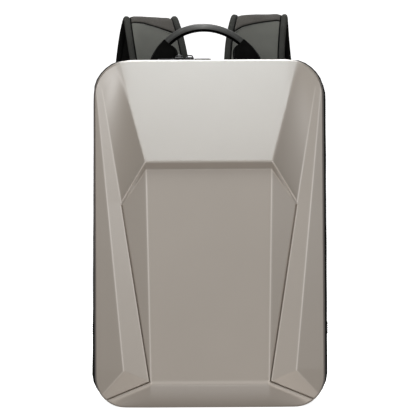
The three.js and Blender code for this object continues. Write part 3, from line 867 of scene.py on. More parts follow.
# The fabric side wall: how far it swells at its foot, and the share of that lost at the top, left and right
SIDE_SWELL = {-1: (6.6 * MM, 1.0), 1: (5.8 * MM, 0.2)}
PUCKER = 0.4 * MM
FABRIC = 2.0 * MM
SEAM_FROM_SLOT, STITCH_LIFT = 3.2 * MM, 0.35 * MM
# At the top corners the wall's front edge rolls outwards, most of all at this distance behind the shell.
CORNER_ROLL = {"most": 2.0 * MM, "behind": 3 * MM, "half": 6 * MM}
# The wall's rows, in millimetres: distance from the shell, the zip's slot or the back, and lift
FRONT_LEVELS = ((0.3, -1.2), (1.2, -0.2), (2.6, 0.0), (4.2, -0.4), (6.0, -0.1))
SLOT_LEVELS = ((-2.4, 0.2), (-1.0, 0.7), (0.0, 0.4))
BACK_LEVELS = ((-3.4, 0.0), (-1.8, 0.5), (0.0, -0.4))


def wall_place(station, y, lift=0.0):
    """A point on the side wall. The cloth swells at the sides, most of all low down, and puckers."""
    (x, z), (out_x, out_z) = station
    most, fade = SIDE_SWELL[1 if x > 0 else -1]
    fullness = most * out_x ** 2 * (1 - fade * z / HEIGHT)
    swell = math.sin(math.pi * clamp((y - RIM_Y) / (BACK_Y - RIM_Y)))
    pucker = noise.noise(Vector((x * 26, y * 34, z * 26))) * PUCKER * swell
    if out_z < -0.6:
        pucker = min(pucker, 0.0) * 0.3
    corner = smooth_step(out_z, 0.12, 0.4) * smooth_step(abs(out_x), 0.12, 0.4)
    off = abs(y - RIM_Y - CORNER_ROLL["behind"]) / CORNER_ROLL["half"]
    out = lift + fullness * swell + pucker + CORNER_ROLL["most"] * corner * max(0.0, 1 - off)
    return Vector((x + out_x * out, y, z + out_z * out))


def above_zip_ends(station):
    return station[0][1] >= ZIP_END_Z - 4 * MM


WALL_STATIONS = stations(9 * MM)
first_low = next(k for k, station in enumerate(WALL_STATIONS) if not above_zip_ends(station))
ZIPPED = [s for s in WALL_STATIONS[first_low:] + WALL_STATIONS[:first_low] if above_zip_ends(s)]
ZIPPED_OUT = [Vector((out_x, 0, out_z)) for place, (out_x, out_z) in ZIPPED]


def wall_levels():
    """Depths of the wall's rows from the shell to the back, with the lift of each off the wall's face."""
    front, back = ZIP_Y - ZIP_HALF, ZIP_Y + ZIP_HALF
    behind, last = back - SLOT_LEVELS[0][0] * MM, BACK_Y - 5 * MM
    levels = [(RIM_Y + off * MM, lift) for off, lift in FRONT_LEVELS]
    levels += [(front + off * MM, lift) for off, lift in SLOT_LEVELS]
    levels += [(blend(front, back, k / 6), 0.0) for k in range(1, 6)]
    levels += [(back - off * MM, lift) for off, lift in reversed(SLOT_LEVELS)]
    levels += [(blend(behind, last, k / 9), 0.0) for k in range(1, 10)]
    levels += [(BACK_Y + off * MM, lift) for off, lift in BACK_LEVELS]
    return [(y, lift * MM) for y, lift in levels]


def add_side_cloth(name, node, rows, thickness, way_of, **shape):
    """A skin of the side wall's cloth over rows of points. way_of gives the way out at a face."""
    mesh = turn_out(loft(name, rows, round_ring=False, **shape), way_of)
    thicken(add_object(name, mesh, [SIDE_CLOTH], node), thickness)


def make_side_wall():
    levels = wall_levels()
    rings = [[wall_place(station, y, lift) for y, lift in levels] for station in WALL_STATIONS]
    slot_first = len(FRONT_LEVELS) + len(SLOT_LEVELS) - 1
    slot_last = slot_first + 6

    def skip(r, i):
        after = WALL_STATIONS[(r + 1) % len(WALL_STATIONS)]
        return slot_first <= i < slot_last and above_zip_ends(WALL_STATIONS[r]) and above_zip_ends(after)

    def way_of(face):
        return face.center - Vector((0, 0, HEIGHT / 2))

    add_side_cloth("side_wall", "gusset", rings, FABRIC, way_of, round_path=True, skip=skip)
    # Twin rows of stitches beside the zip.
    seams = []
    for off in (-ZIP_HALF - SEAM_FROM_SLOT, ZIP_HALF + SEAM_FROM_SLOT):
        path = [wall_place(station, ZIP_Y + off, STITCH_LIFT) for station in ZIPPED]
        seams.append((path, ZIPPED_OUT))
    add_stitches("wall_stitches", "side_wall", seams, DARK_THREAD)


make_side_wall()

# The zip's tape from its edge to the coil: distance from the middle, and lift in millimetres
TAPE_ROWS = ((ZIP_HALF, -1.6), (ZIP_HALF, -0.7), (9 * MM, -0.5), (4.2 * MM, -0.3), (3.4 * MM, 0.0),
             (0.5 * MM, 0.1))
TAPE_MIDDLE = (0.0, -0.5)


def make_zip():
    profile = [(-y, lift) for y, lift in TAPE_ROWS] + [TAPE_MIDDLE] + list(reversed(TAPE_ROWS))
    rings = [[wall_place(station, ZIP_Y + y, lift * MM) for y, lift in profile] for station in ZIPPED]
    add_loft("zip_cloth", rings, [TAPE_CLOTH], "zip_tape", "zip_tape")
    # The coil's turns lie across the zip's middle, from each side in turn.
    path = [wall_place(station, ZIP_Y, 0.4 * MM) for station in ZIPPED]
    turns = []
    for n, (place, way, up) in enumerate(stitch_line("zip_coil", path, ZIPPED_OUT)):
        turns.append((place + BACKWARDS * (MM if n % 2 else -MM), BACKWARDS, up))
    add_threads("zip_coil", "zip_coil", turns, COIL)


# The tab over each of the zip's ends: how far it stands off the wall, left and right, and its grid
TAB_LIFT = {-1: 0.5 * MM, 1: 1.1 * MM}
TAB_EDGE = (0.4, 0.85, 1.0)
TAB_ROWS, TAB_COLUMNS = 8, 12
ZIP_TAB_FABRIC = 1.2 * MM


def make_zip_end(side):
    node = f"zip_end_{SIDE_NAMES[side]}"
    name = f"zip_tab_{SIDE_NAMES[side]}"
    out = Vector((side, 0, 0))
    low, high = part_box(node)
    rows = []
    for k in range(TAB_ROWS + 1):
        station = ((side * WIDTH / 2, blend(low.z, high.z, k / TAB_ROWS)), (side, 0.0))
        row = []
        for m in range(TAB_COLUMNS + 1):
            edge = min(m, TAB_COLUMNS - m, k, TAB_ROWS - k, len(TAB_EDGE) - 1)
            y = blend(low.y, high.y, m / TAB_COLUMNS)
            row.append(wall_place(station, y, TAB_LIFT[side] * TAB_EDGE[edge]))
        rows.append(row)
    add_side_cloth(name, node, rows, ZIP_TAB_FABRIC, lambda face: out)
    seam = rows[1][1:-1] + [row[-2] for row in rows[2:-1]]
    seam += rows[-2][-3:0:-1] + [row[1] for row in rows[-3:0:-1]]
    seams = [([p + out * STITCH_LIFT for p in seam], out)]
    add_stitches(name + "_stitches", "zip_tab", seams, DARK_THREAD)


# A slider from its foot up: height in millimetres, and its share of the full size
SLIDER_ROWS = ((0.0, 0.82), (0.5, 0.96), (1.7, 1.0), (1.9, 0.9),
               (2.6, 0.9), (2.8, 1.0), (3.9, 0.95), (4.4, 0.8))


def make_slider(node, nose):
    """A zip slider, whose nose points along x, with the bow that its pull hangs on."""
    low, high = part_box(node)
    middle = (low + high) / 2
    length, width = high.x - low.x, high.y - low.y
    rings = []
    for rise, grow in SLIDER_ROWS:
        ring = []
        for x, y in rounded_loop(length / 2, width / 2, 1.8 * MM):
            taper = 1 - 0.3 * max(0.0, x * nose / (length / 2))
            ring.append(Vector((middle.x + x * grow, middle.y + y * taper * grow, low.z + rise * MM)))
        rings.append(ring)
    add_loft(node + "_body", rings, [GUNMETAL], "zip_metal", node)
    reach, top = length * 0.36, low.z + SLIDER_ROWS[-1][0] * MM
    foot, knee, crown = top - 0.6 * MM, top + 1.6 * MM, high.z - 0.6 * MM
    bends = ((-1, foot), (-0.8, knee), (0, crown), (0.8, knee), (1, foot))
    path = smooth_path([Vector((middle.x + reach * share, middle.y, z)) for share, z in bends], 5)
    rings = bar_rings(path, 1.5 * MM, 0.85 * MM, BACKWARDS, power=1.0, sides=12, phase=0)
    add_loft(node + "_bow", rings, [COIL], "zip_metal")


PULL = {"thick": 1.3 * MM, "corner": 3.2 * MM, "bevel": 0.4 * MM, "eye": 2.0 * MM, "eye_in": 4.2 * MM}


def make_pull(node, way):
    """A flat tab with an eye, hung on its slider's bow."""
    low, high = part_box(node)
    middle = (low + high) / 2
    length, width = high.x - low.x, high.y - low.y
    top = low.z + PULL["thick"]
    outer = rounded_loop(length / 2, width / 2, PULL["corner"], 6)
    eye_x = way * (length / 2 - PULL["eye_in"])
    inner = []
    for x, y in outer:
        turn = math.atan2(y, x - eye_x)
        inner.append((eye_x + PULL["eye"] * math.cos(turn), PULL["eye"] * math.sin(turn)))
    rows = ((outer, top, 0.93), (outer, top - PULL["bevel"], 1.0), (outer, low.z + PULL["bevel"], 1.0),
            (outer, low.z, 0.93), (inner, low.z, 1.0), (inner, top, 1.0))
    rings = []
    for loop, z, grow in rows:
        rings.append([Vector((middle.x + x * grow, middle.y + y * grow, z)) for x, y in loop])
    add_loft(node + "_tab", rings, [COIL], "zip_metal", node, round_path=True)


make_zip()
make_zip_end(1)
make_zip_end(-1)
make_slider("zip_slider_left", 1)
make_slider("zip_slider_right", -1)
make_pull("zip_pull_left", -1)
make_pull("zip_pull_right", 1)

# The top handle. It leans to the left, more so higher up.
HANDLE_ARC = {"half_span": 50 * MM, "end_z": 482.5 * MM, "rise": 20.0 * MM, "radius": 5.6 * MM}
HANDLE_LEAN = {"foot": -3.0 * MM, "per_height": -2.4 / 31}
GRIP_STEPS, GRIP_SIDES = 60, 28
GRIP_SEAM_STEPS = 80
UNDERSIDE = 1.15
# The foot from the grip's end down, in millimetres: outer x and z, inner x and z, and half depth
FOOT_ROWS = (
    (54.0, 486.9, 46.6, 479.2, 6.2),
    (59.2, 482.0, 42.2, 477.2, 6.6),
    (64.6, 476.4, 39.0, 474.2, 7.0),
    (70.8, 467.6, 37.2, 468.6, 8.4),
    (75.0, 460.0, 37.2, 460.6, 9.5),
    (78.6, 452.4, 37.4, 452.4, 10.0),
)


def handle_lean(z):
    return HANDLE_LEAN["foot"] + HANDLE_LEAN["per_height"] * (z - HEIGHT)


def grip_point(share, lift, depth):
    """A point on the handle's arch: share is 1 at the left end and -1 at the right."""
    half_span, rise = HANDLE_ARC["half_span"], HANDLE_ARC["rise"]
    arc = (half_span ** 2 + rise ** 2) / (2 * rise)
    angle = math.asin(half_span / arc) * share
    z = HANDLE_ARC["end_z"] + rise - arc + (arc + lift) * math.cos(angle)
    return Vector((handle_lean(z) - (arc + lift) * math.sin(angle), HANDLE_Y + depth, z))


def make_grip():
    radius = HANDLE_ARC["radius"]
    rings = []
    for k in range(GRIP_STEPS + 1):
        share = 1 - 2 * k / GRIP_STEPS
        rub = 1 + 0.012 * noise.noise(Vector((k * 0.9, 0, 0)))
        ring = []
        for n in range(GRIP_SIDES):
            turn = math.tau * n / GRIP_SIDES
            # The cover is sewn shut along the underside, where its edges dip in.
            seam = max(0.0, 1 - abs(turn - math.pi) / 0.35)
            size = radius * rub * (1 - 0.14 * seam ** 2)
            ring.append(grip_point(share, size * math.cos(turn), 1.1 * size * math.sin(turn)))
        rings.append(ring)

    def slot_of(ring, place):
        return 1 if abs(math.tau * (place + 0.5) / GRIP_SIDES - math.pi) < UNDERSIDE else 0

    grip = add_loft("handle_roll", rings, [GRIP, WEBBING], "grip_cover", "handle_grip", slot_of=slot_of)
    # Painted highlight over the arch, strongest at its middle and gone at its ends
    middle, reach = grip_point(0, 0, 0).x, HANDLE_ARC["half_span"]
    painted_apex_light = [max(0.0, 1 - abs(v.co.x - middle) / reach) ** 2 for v in grip.data.vertices]
    store_shares(grip.data, "painted_apex_light", painted_apex_light)
    seams = []
    for depth in (-1.7 * MM, 1.7 * MM):
        shares = [1 - 2 * k / GRIP_SEAM_STEPS for k in range(3, GRIP_SEAM_STEPS - 2)]
        path = [grip_point(share, -radius * 0.93, depth) for share in shares]
        ups = [(p - grip_point(share, 0, 0)).normalized() for p, share in zip(path, shares)]
        seams.append((path, ups))
    add_stitches("handle_stitches", "handle_roll", seams, DARK_THREAD)


def make_handle_foot(side):
    node = f"handle_foot_{SIDE_NAMES[side]}"
    outers = smooth_path([Vector((row[0], row[1], 0)) for row in FOOT_ROWS], 5)
    inners = smooth_path([Vector(row[2:]) for row in FOOT_ROWS], 5)

    def section(row, turn):
        # A section between a box and an oval.
        across = 0.5 - 0.5 * signed_power(math.cos(turn), 0.6)
        depth = inners[row].z * signed_power(math.sin(turn), 0.62)
        x, z = blend(outers[row].xy, inners[row].xy, across) * MM
        return Vector((handle_lean(z) + side * x, HANDLE_Y + depth * MM, z))

    count = len(outers)
    rings = [[section(row, math.tau * n / GRIP_SIDES) for n in range(GRIP_SIDES)] for row in range(count)]
    name = node + "_boot"
    add_loft(name, rings, [FOOT_HIDE], "webbing", node, 50)
    # A row of stitches round the edge of each face.
    seams = []
    for face in (-1, 1):
        path = [section(row, face * math.pi / 2 - 0.95) for row in range(3, count - 1)]
        path += [section(row, face * math.pi / 2 + 0.95) for row in range(count - 2, 2, -1)]
        seams.append((path, BACKWARDS * face))
    add_stitches(name + "_stitches", "handle_boot", seams, DARK_THREAD)


make_grip()
make_handle_foot(-1)
make_handle_foot(1)

# The shoulder straps from the seam on the back panel to the buckle, in millimetres: the pad's middle,
# width and thickness, how far the left and the right strap hang aside, and the shares of the loops'
# lift and spread
PANEL_FACE = panel_high.y / MM
STRAP_ROWS = (
    (62, PANEL_FACE + 6.2, 416, 80, 9, 0, 0, 0, 0.4),
    (64.5, PANEL_FACE + 7.8, 448, 80, 12, -1.0, -1.9, 0, 1),
    (67.5, 73, 480, 79, 12, -3.3, -3.3, 0.4, 1),
    (71.5, 79.5, 505, 77, 12, -4.4, -3.9, 1, 0.9),
    (75.5, 97, 521, 75, 12, -5.0, -4.0, 1, 0.85),
    (79, 115, 512, 74, 12, -6.5, -4.2, 1, 0.4),
    (82.5, 126, 490, 73, 12, -8.4, -4.4, 0.6, 0),
    (87, 133, 455, 72, 12, -9.2, -4.6, 0.2, 0),
    (94, 138.5, 405, 71, 12, -7.2, -3.4, 0, 0),
    (100, 139.5, 350, 70, 12, -3.6, -1.6, 0, 0),
    (104, 136, 290, 67, 12, -1.0, -0.4, 0, 0),
    (106.5, 128, 235, 62, 12, 0, 0, 0, 0),
    (108, 118.5, 195, 50, 10, 0, 0, 0, 0),
    (109, 112, 172, 38, 7, 0, 0, 0, 0),
)
STRAP_STEPS = 12
# How far the top of each loop rises, and how much wider it lies spread, left and right
STRAP_LIFT = {-1: -1.5, 1: 0.9}
STRAP_SPREAD = {-1: 0.0, 1: 3.6}
BINDING, BINDING_PROUD, BINDING_SIDES = 9 * MM, -0.5 * MM, 24
PAD_TUCK = 0.5 * MM
# The seam between the strap's lower panel and its yoke, on the side that faces the bag's front: its height,
# in millimetres, at places across the pad from the inner edge, -1, to the outer edge, 1
YOKE_SEAM = {
    -1: ((-1.0, 498.2), (-0.6, 503.2), (-0.1, 509.6), (0.4, 515.4), (0.75, 517.0), (1.0, 517.2)),
    1: ((-1.0, 501.0), (-0.6, 509.3), (-0.1, 513.6), (0.4, 516.4), (0.75, 518.2), (1.0, 519.0)),
}
SEAM_TICKS = (-26, -18, -11, -6, -3.2, -2.0, -1.2, 0, 1.2, 2.0, 3.2, 6, 11, 18, 26)
SEAM_DIP, SEAM_DIP_HALF, SEAM_REACH = 1.8 * MM, 2.0 * MM, 34 * MM
PAD_ACROSS = (-1, -0.985, -0.95, -0.9, -0.8, -0.62, -0.4, -0.15, 0.15, 0.4, 0.62, 0.8, 0.9, 0.95, 0.985, 1)


class Strap:
    """One strap's path by distance along it: place, way across, way out, width and thickness."""

    def __init__(self, side):
        self.side = side
        places, sizes = [], []
        for x, y, z, width, thick, left, right, lift, spread_share in STRAP_ROWS:
            aside = left if side < 0 else right
            places.append(Vector((side * x + aside, y, z + STRAP_LIFT[side] * lift)) * MM)
            sizes.append(Vector((width + STRAP_SPREAD[side] * spread_share, thick, 0)) * MM)
        self.path = smooth_path(places, STRAP_STEPS)
        self.sizes = smooth_path(sizes, STRAP_STEPS)
        self.runs = [0.0]
        for a, b in zip(self.path, self.path[1:]):
            self.runs.append(self.runs[-1] + (b - a).length)
        self.length = self.runs[-1]
        self.frames = []
        for k in range(len(self.path)):
            way = way_at(self.path, k)
            across = square_to(Vector((side, 0, 0)), way)
            self.frames.append((across, across.cross(way) * side))

    def at(self, run):
        run = min(max(run, 0.0), self.length)
        k = max(j for j in range(len(self.runs) - 1) if self.runs[j] <= run)
        t = (run - self.runs[k]) / (self.runs[k + 1] - self.runs[k])
        across, out = [a.lerp(b, t).normalized() for a, b in zip(self.frames[k], self.frames[k + 1])]
        size = self.sizes[k].lerp(self.sizes[k + 1], t)
        return self.path[k].lerp(self.path[k + 1], t), across, out, size.x, size.y

    def seam_run(self, u):
        """How far along the strap its yoke seam crosses a place across the pad."""
        seam = YOKE_SEAM[self.side]
        for (u0, z0), (u1, z1) in zip(seam, seam[1:]):
            if u <= u1:
                break
        target = blend(z0, z1, (u - u0) / (u1 - u0)) * MM
        low, high = self.runs[2 * STRAP_STEPS], self.runs[4 * STRAP_STEPS]
        for _ in range(24):
            middle = (low + high) / 2
            p, across, out, width, thick = self.at(middle)
            place = p + across * (u * (width / 2 - BINDING)) + out * (thick / 2)
            low, high = (middle, high) if place.z < target else (low, middle)
        return low


def make_strap_pad(strap, name):
    """The padded body: a lower panel and a yoke in front, black mesh behind, and a dark seam between."""
    seam = strap.seam_run(0.0)
    shifts = {u: strap.seam_run(u) - seam for u in PAD_ACROSS}
    ticks = [seam + tick * MM for tick in SEAM_TICKS]
    steps = round(ticks[0] / (5 * MM))
    before = [ticks[0] * k / steps for k in range(steps)]
    steps = round((strap.length - ticks[-1]) / (5 * MM))
    after = [blend(ticks[-1], strap.length, (k + 1) / steps) for k in range(steps)]
    seam_ring = len(before) + SEAM_TICKS.index(0)
    count = len(PAD_ACROSS)
    rings = []
    for run in before + ticks + after:
        off = abs(run - seam)
        ring = []
        for face, u in [(1, u) for u in PAD_ACROSS] + [(-1, u) for u in reversed(PAD_ACROSS)]:
            shift = shifts[u] * max(0.0, 1 - off / SEAM_REACH) if face > 0 else 0.0
            p, across, out, width, thick = strap.at(run + shift)
            edge = max(0.0, (abs(u) - 0.8) / 0.2)
            crown = 0.5 * thick * (1.08 - 0.12 * u * u - 0.34 * edge ** 1.6)
            if face > 0:
                crown -= SEAM_DIP * max(0.0, 1 - off / SEAM_DIP_HALF)
                crown += 0.5 * MM * bell(off, 3 * MM, 2 * MM)
            pucker = 0.35 * MM * noise.noise(Vector((run * 55, u * 3, strap.side * 2 + face)))
            half = width / 2 - BINDING + PAD_TUCK
            ring.append(p + across * (half * u) + out * (face * (crown + pucker * (1 - edge))))
        rings.append(ring)

    # Black mesh behind and on the seam's rings; on the front's edge faces by the bindings the black mesh is
    # painted shade in the gap
    def slot_of(r, i):
        if i >= count - 3 or i < 2 or seam_ring - 1 <= r <= seam_ring:
            return 2
        return 0 if r < seam_ring else 1

    piece, node = f"strap_body_{name}", f"strap_pad_{name}"
    cloths = [STRAP_CLOTH, YOKE_CLOTH, LINING_MESH]
    body = add_loft(piece, rings, cloths, "strap_fabric", node, slot_of=slot_of)


def make_binding(strap, edge, piece, node):
    """The bound edge on one side of a strap. Gives the seam along it."""
    rings, path, ups = [], [], []
    steps = round(strap.length / (4 * MM))
    for k in range(steps + 1):
        run = strap.length * k / steps
        p, across, out, width, thick = strap.at(run)
        middle = p + across * (edge * (width - BINDING) / 2)
        half = thick / 2 + BINDING_PROUD + 0.2 * MM * noise.noise(Vector((run * 70, edge * 5, strap.side)))
        rings.append(section_ring(middle, across * (BINDING / 2), out * half, 0.8, BINDING_SIDES, 0))
        path.append(middle - across * (edge * BINDING * 0.3) + out * (half * 0.86))
        ups.append((out - across * (edge * 0.5)).normalized())

    def slot_of(r, i):
        return 0 if i < BINDING_SIDES / 2 else 1

    add_loft(piece, rings, [BINDING_CLOTH, LINING_MESH], "strap_binding", node, slot_of=slot_of)
    return path, ups


def make_strap(side):
    name = SIDE_NAMES[side]
    strap = Strap(side)
    make_strap_pad(strap, name)
    seams = []
    for edge, edge_name in ((1, "outer"), (-1, "inner")):
        piece, node = f"strap_edge_{edge_name}_{name}", f"strap_binding_{edge_name}_{name}"
        seams.append(make_binding(strap, edge, piece, node))
    # Stitches hold the yoke down just below its seam.
    path, ups = [], []
    for k in range(41):
        u = -0.9 + 1.8 * k / 40
        p, across, out, width, thick = strap.at(strap.seam_run(u) - 3 * MM)
        half = width / 2 - BINDING + PAD_TUCK
        path.append(p + across * (half * u) + out * (0.5 * thick * (1.08 - 0.12 * u * u) + 0.55 * MM))
        ups.append(out)
    seams.append((path, ups))
    add_stitches(f"strap_stitches_{name}", "strap", seams, GREY_THREAD)


make_strap(-1)
make_strap(1)

# The padded back panel: foam pads that swell between sewn air channels.
# Each channel runs from x and z to x and z, in millimetres.
PANEL_CHANNELS = ((0, 54, 0, 352), (-105, 149, 105, 149), (-105, 280, 105, 280))
CHANNEL_HALF, CHANNEL_DEPTH = 7.5, 5.0 * MM
PANEL_ROLL = 9 * MM
PANEL_HELD = 5 * MM
PANEL_FINE = (0.0, 0.6 * MM, 1.6 * MM, 3.2 * MM, 5.5 * MM, 9 * MM)
PANEL_ROWS, PANEL_COLUMNS = 92, 64
SWELL_MOST, SWELL_FRAMES = 3.4 * MM, 16


def channel_share(x, z):
    """How near a point of the panel is to the middle of a channel, from 0 to 1."""
    best = 0.0
    for x0, z0, x1, z1 in PANEL_CHANNELS:
        off = beside(x / MM, z / MM, (x0, z0), (x1, z1))[1] / CHANNEL_HALF
        best = max(best, math.exp(-off * off * 1.2))
    return best


def graded(low, high, steps, fine):
    """Values from low to high, close together at both ends."""
    ends = [low + d for d in fine] + [high - d for d in fine]
    start, end = low + fine[-1], high - fine[-1]
    return sorted(set(ends + [blend(start, end, k / steps) for k in range(1, steps)]))


def panel_half_width(z, inset):
    corner, beyond = BOTTOM_CORNER, max(BOTTOM_CORNER - z, 0.0)
    if z > HEIGHT / 2:
        corner, beyond = TOP_CORNER, max(z - (HEIGHT - TOP_CORNER), 0.0)
    return WIDTH / 2 - corner + math.sqrt(max((corner - inset) ** 2 - beyond ** 2, 0))


def make_back_panel():
    low, high = panel_low, panel_high
    inset = (WIDTH - (high.x - low.x)) / 2
    thick = high.y - low.y

    def from_edge(p):
        """Distance from the panel's edge."""
        best = min(p.z - low.z, high.z - p.z, panel_half_width(p.z, inset) - abs(p.x))
        for corner, up in ((TOP_CORNER, p.z - HEIGHT + TOP_CORNER), (BOTTOM_CORNER, BOTTOM_CORNER - p.z)):
            aside = abs(p.x) - (WIDTH / 2 - corner)
            if aside > 0 and up > 0:
                best = corner - inset - math.hypot(aside, up)
        return max(best, 0.0)

    levels = graded(low.z, high.z, PANEL_ROWS, PANEL_FINE)
    shares = graded(-1.0, 1.0, PANEL_COLUMNS, [fine / (WIDTH / 2) for fine in PANEL_FINE])
    points = []
    for z in levels:
        for share in shares:
            p = Vector((panel_half_width(z, inset) * share, low.y, z))
            crown = thick * (0.25 + 0.69 * quarter_round(from_edge(p), PANEL_ROLL))
            p.y += crown - CHANNEL_DEPTH * channel_share(p.x, p.z)
            points.append(p)
    count, base = len(shares), len(points)
    loop = border(len(levels), count)
    points += [Vector((points[k].x, low.y + 0.2 * MM, points[k].z)) for k in loop]
    faces = grid_faces(base, count) + band(loop, range(base, len(points)))
    uvs = [[(points[k].x, points[k].z) for k in face] for face in faces]
    mesh = turn_out(mesh_of("back_pad", points, faces, uvs), lambda face: BACKWARDS)
    pad = add_object("back_pad", mesh, [BACK_MESH], "back_panel")
    # Everything sewn down is held: the edge and the channels.
    held = pad.vertex_groups.new(name="held")
    for k, p in enumerate(points):
        hold = 1.0 if k >= base or from_edge(p) < PANEL_HELD else channel_share(p.x, p.z)
        if hold > 0.03:
            held.add([k], min(hold * 1.2, 1.0), "REPLACE")
    swell(pad, held.name)
    seams = []
    surface = BVHTree.FromPolygons([v.co for v in mesh.vertices], [p.vertices for p in mesh.polygons])
    for x0, z0, x1, z1 in PANEL_CHANNELS:
        a, b = Vector((x0, 0, z0)) * MM, Vector((x1, 0, z1)) * MM
        across = (b - a).cross(BACKWARDS).normalized() * (2.6 * MM)
        for shift in (-across, across):
            spots = [a.lerp(b, k / 120) + shift + BACKWARDS * 0.3 for k in range(121)]
            path = [surface.ray_cast(spot, -BACKWARDS)[0] + BACKWARDS * (0.2 * MM) for spot in spots]
            seams.append((path, BACKWARDS))
    add_stitches("back_stitches", "back_pad", seams, DARK_THREAD)


def swell(made, group):
    """Blows padded cloth up a little between its sewn lines, and caps how far a point may move."""
    before = [v.co.copy() for v in made.data.vertices]
    cloth = made.modifiers.new("cloth", "CLOTH")
    settings = cloth.settings
    settings.quality = 5
    settings.mass = 0.25
    settings.tension_stiffness = settings.compression_stiffness = 12
    settings.bending_stiffness = 0.6
    settings.use_pressure = True
    settings.uniform_pressure_force = 4
    settings.vertex_group_mass = group
    settings.pin_stiffness = 1
    settings.effector_weights.gravity = 0
    cloth.collision_settings.use_collision = False
    cloth.point_cache.frame_start, cloth.point_cache.frame_end = 1, SWELL_FRAMES
    scene = bpy.context.scene
    for number in range(1, SWELL_FRAMES + 1):
        scene.frame_set(number)
    shaped = made.evaluated_get(bpy.context.evaluated_depsgraph_get())
    after = [v.co.copy() for v in shaped.data.vertices]
    made.modifiers.remove(cloth)
    scene.frame_set(1)
    for vertex, old, new in zip(made.data.vertices, before, after):
        move = new - old
        if move.length > SWELL_MOST:
            move *= SWELL_MOST / move.length
        vertex.co = old + move
    made.data.update()


make_back_panel()

# The lower ends of the straps: buckle, webbing and the sewn tab
WEB_WIDTH, WEB_THICK = 25 * MM, 1.8 * MM
WEB_HALF_SECTION = ((-0.5, -0.3), (-0.485, -0.5), (-0.3, -0.5), (0, -0.5),
                    (0.3, -0.5), (0.485, -0.5), (0.5, -0.3))
WEB_SECTION = WEB_HALF_SECTION + tuple((-u, -v) for u, v in WEB_HALF_SECTION)
HEM = 1.7
BUCKLE_WIDTH, BUCKLE_LENGTH, BUCKLE_THICK, BUCKLE_BAR = 38 * MM, 30 * MM, 5 * MM, 4.5 * MM
TAB_X, TAB_LOW_Z, TAB_HEIGHT, TAB_THICK = 118 * MM, 13 * MM, 42 * MM, 2.4 * MM
TAB_LOW_HALF, TAB_HIGH_HALF = 22 * MM, 14.5 * MM
ANCHOR_FABRIC = 0.8 * MM
# The seam round the tab, as shares across and up, and the box through the webbing, in millimetres
TAB_SEAM = ((-0.85, 0.09), (0.85, 0.09), (0.82, 0.91), (-0.82, 0.91), (-0.85, 0.09))
WEB_BOX = ((-9, 25), (9, 25), (9, 40), (-9, 40), (-9, 25))


def make_buckle(name, spot, out, down):
    """A frame with a bar across its middle."""
    middle, half_bar = BUCKLE_LENGTH / 2, BUCKLE_BAR / 2
    reach = BUCKLE_WIDTH / 2 - half_bar
    path = [spot(middle + y, 0.0, x) for x, y in rounded_loop(reach, middle - half_bar, 3.2 * MM)]
    rings = bar_rings(path, BUCKLE_THICK / 2, half_bar, out, round_path=True)
    piece, node = f"buckle_frame_{name}", f"strap_adjuster_{name}"
    add_loft(piece, rings, [BUCKLE], "buckle_plastic", node, 40, round_path=True)
    path = [spot(middle, 0.0, -reach + 2 * reach * k / 12) for k in range(13)]
    rings = bar_rings(path, half_bar * 0.9, BUCKLE_THICK * 0.42, down)
    add_loft(f"buckle_bar_{name}", rings, [BUCKLE], "buckle_plastic", smooth_angle=40)


def make_web(name, side, spot, clear, web_y):
    """The webbing comes up from the tab behind the buckle, folds over its bar and hangs down in front."""
    low = BUCKLE_LENGTH - BUCKLE_BAR
    turn_at = BUCKLE_LENGTH / 2 - BUCKLE_BAR / 2 + MM
    points = [Vector((side * TAB_X, web_y, z * MM)) for z in (22, 40)]
    points.append(Vector((side * (TAB_X - 0.5 * MM), web_y + 2 * MM, 50 * MM)))
    points.append(spot(BUCKLE_LENGTH + 40 * MM, -clear - MM))
    points += [spot(BUCKLE_LENGTH + 8 * MM, -clear), spot(low, -clear)]
    for quarter in (1, 0.5, 0, -0.5, -1):
        angle = quarter * math.pi / 2
        points.append(spot(turn_at - 3.2 * MM * math.cos(angle), -clear * math.sin(angle)))
    points += [spot(low, clear), spot(BUCKLE_LENGTH + 12 * MM, clear)]
    points.append(spot(BUCKLE_LENGTH + 60 * MM, clear + MM))
    path = smooth_path(points, 6)
    rings = []
    for k, p in enumerate(path):
        way = way_at(path, k)
        flat = square_to(Vector((side, 0, 0)), way)
        lift = flat.cross(way)
        # The tail's end is folded back on itself and sewn.
        thick = WEB_THICK * (HEM if k >= len(path) - 3 else 1.0)
        ring = []
        for u, v in WEB_SECTION:
            ripple = 0.12 * MM * noise.noise(Vector((p.z * 160, u * 9, side)))
            ring.append(p + flat * (u * WEB_WIDTH) + lift * (v * thick + ripple))
        rings.append(ring)
    add_loft(f"web_ribbon_{name}", rings, [WEBBING], "webbing", f"strap_web_{name}", 50)


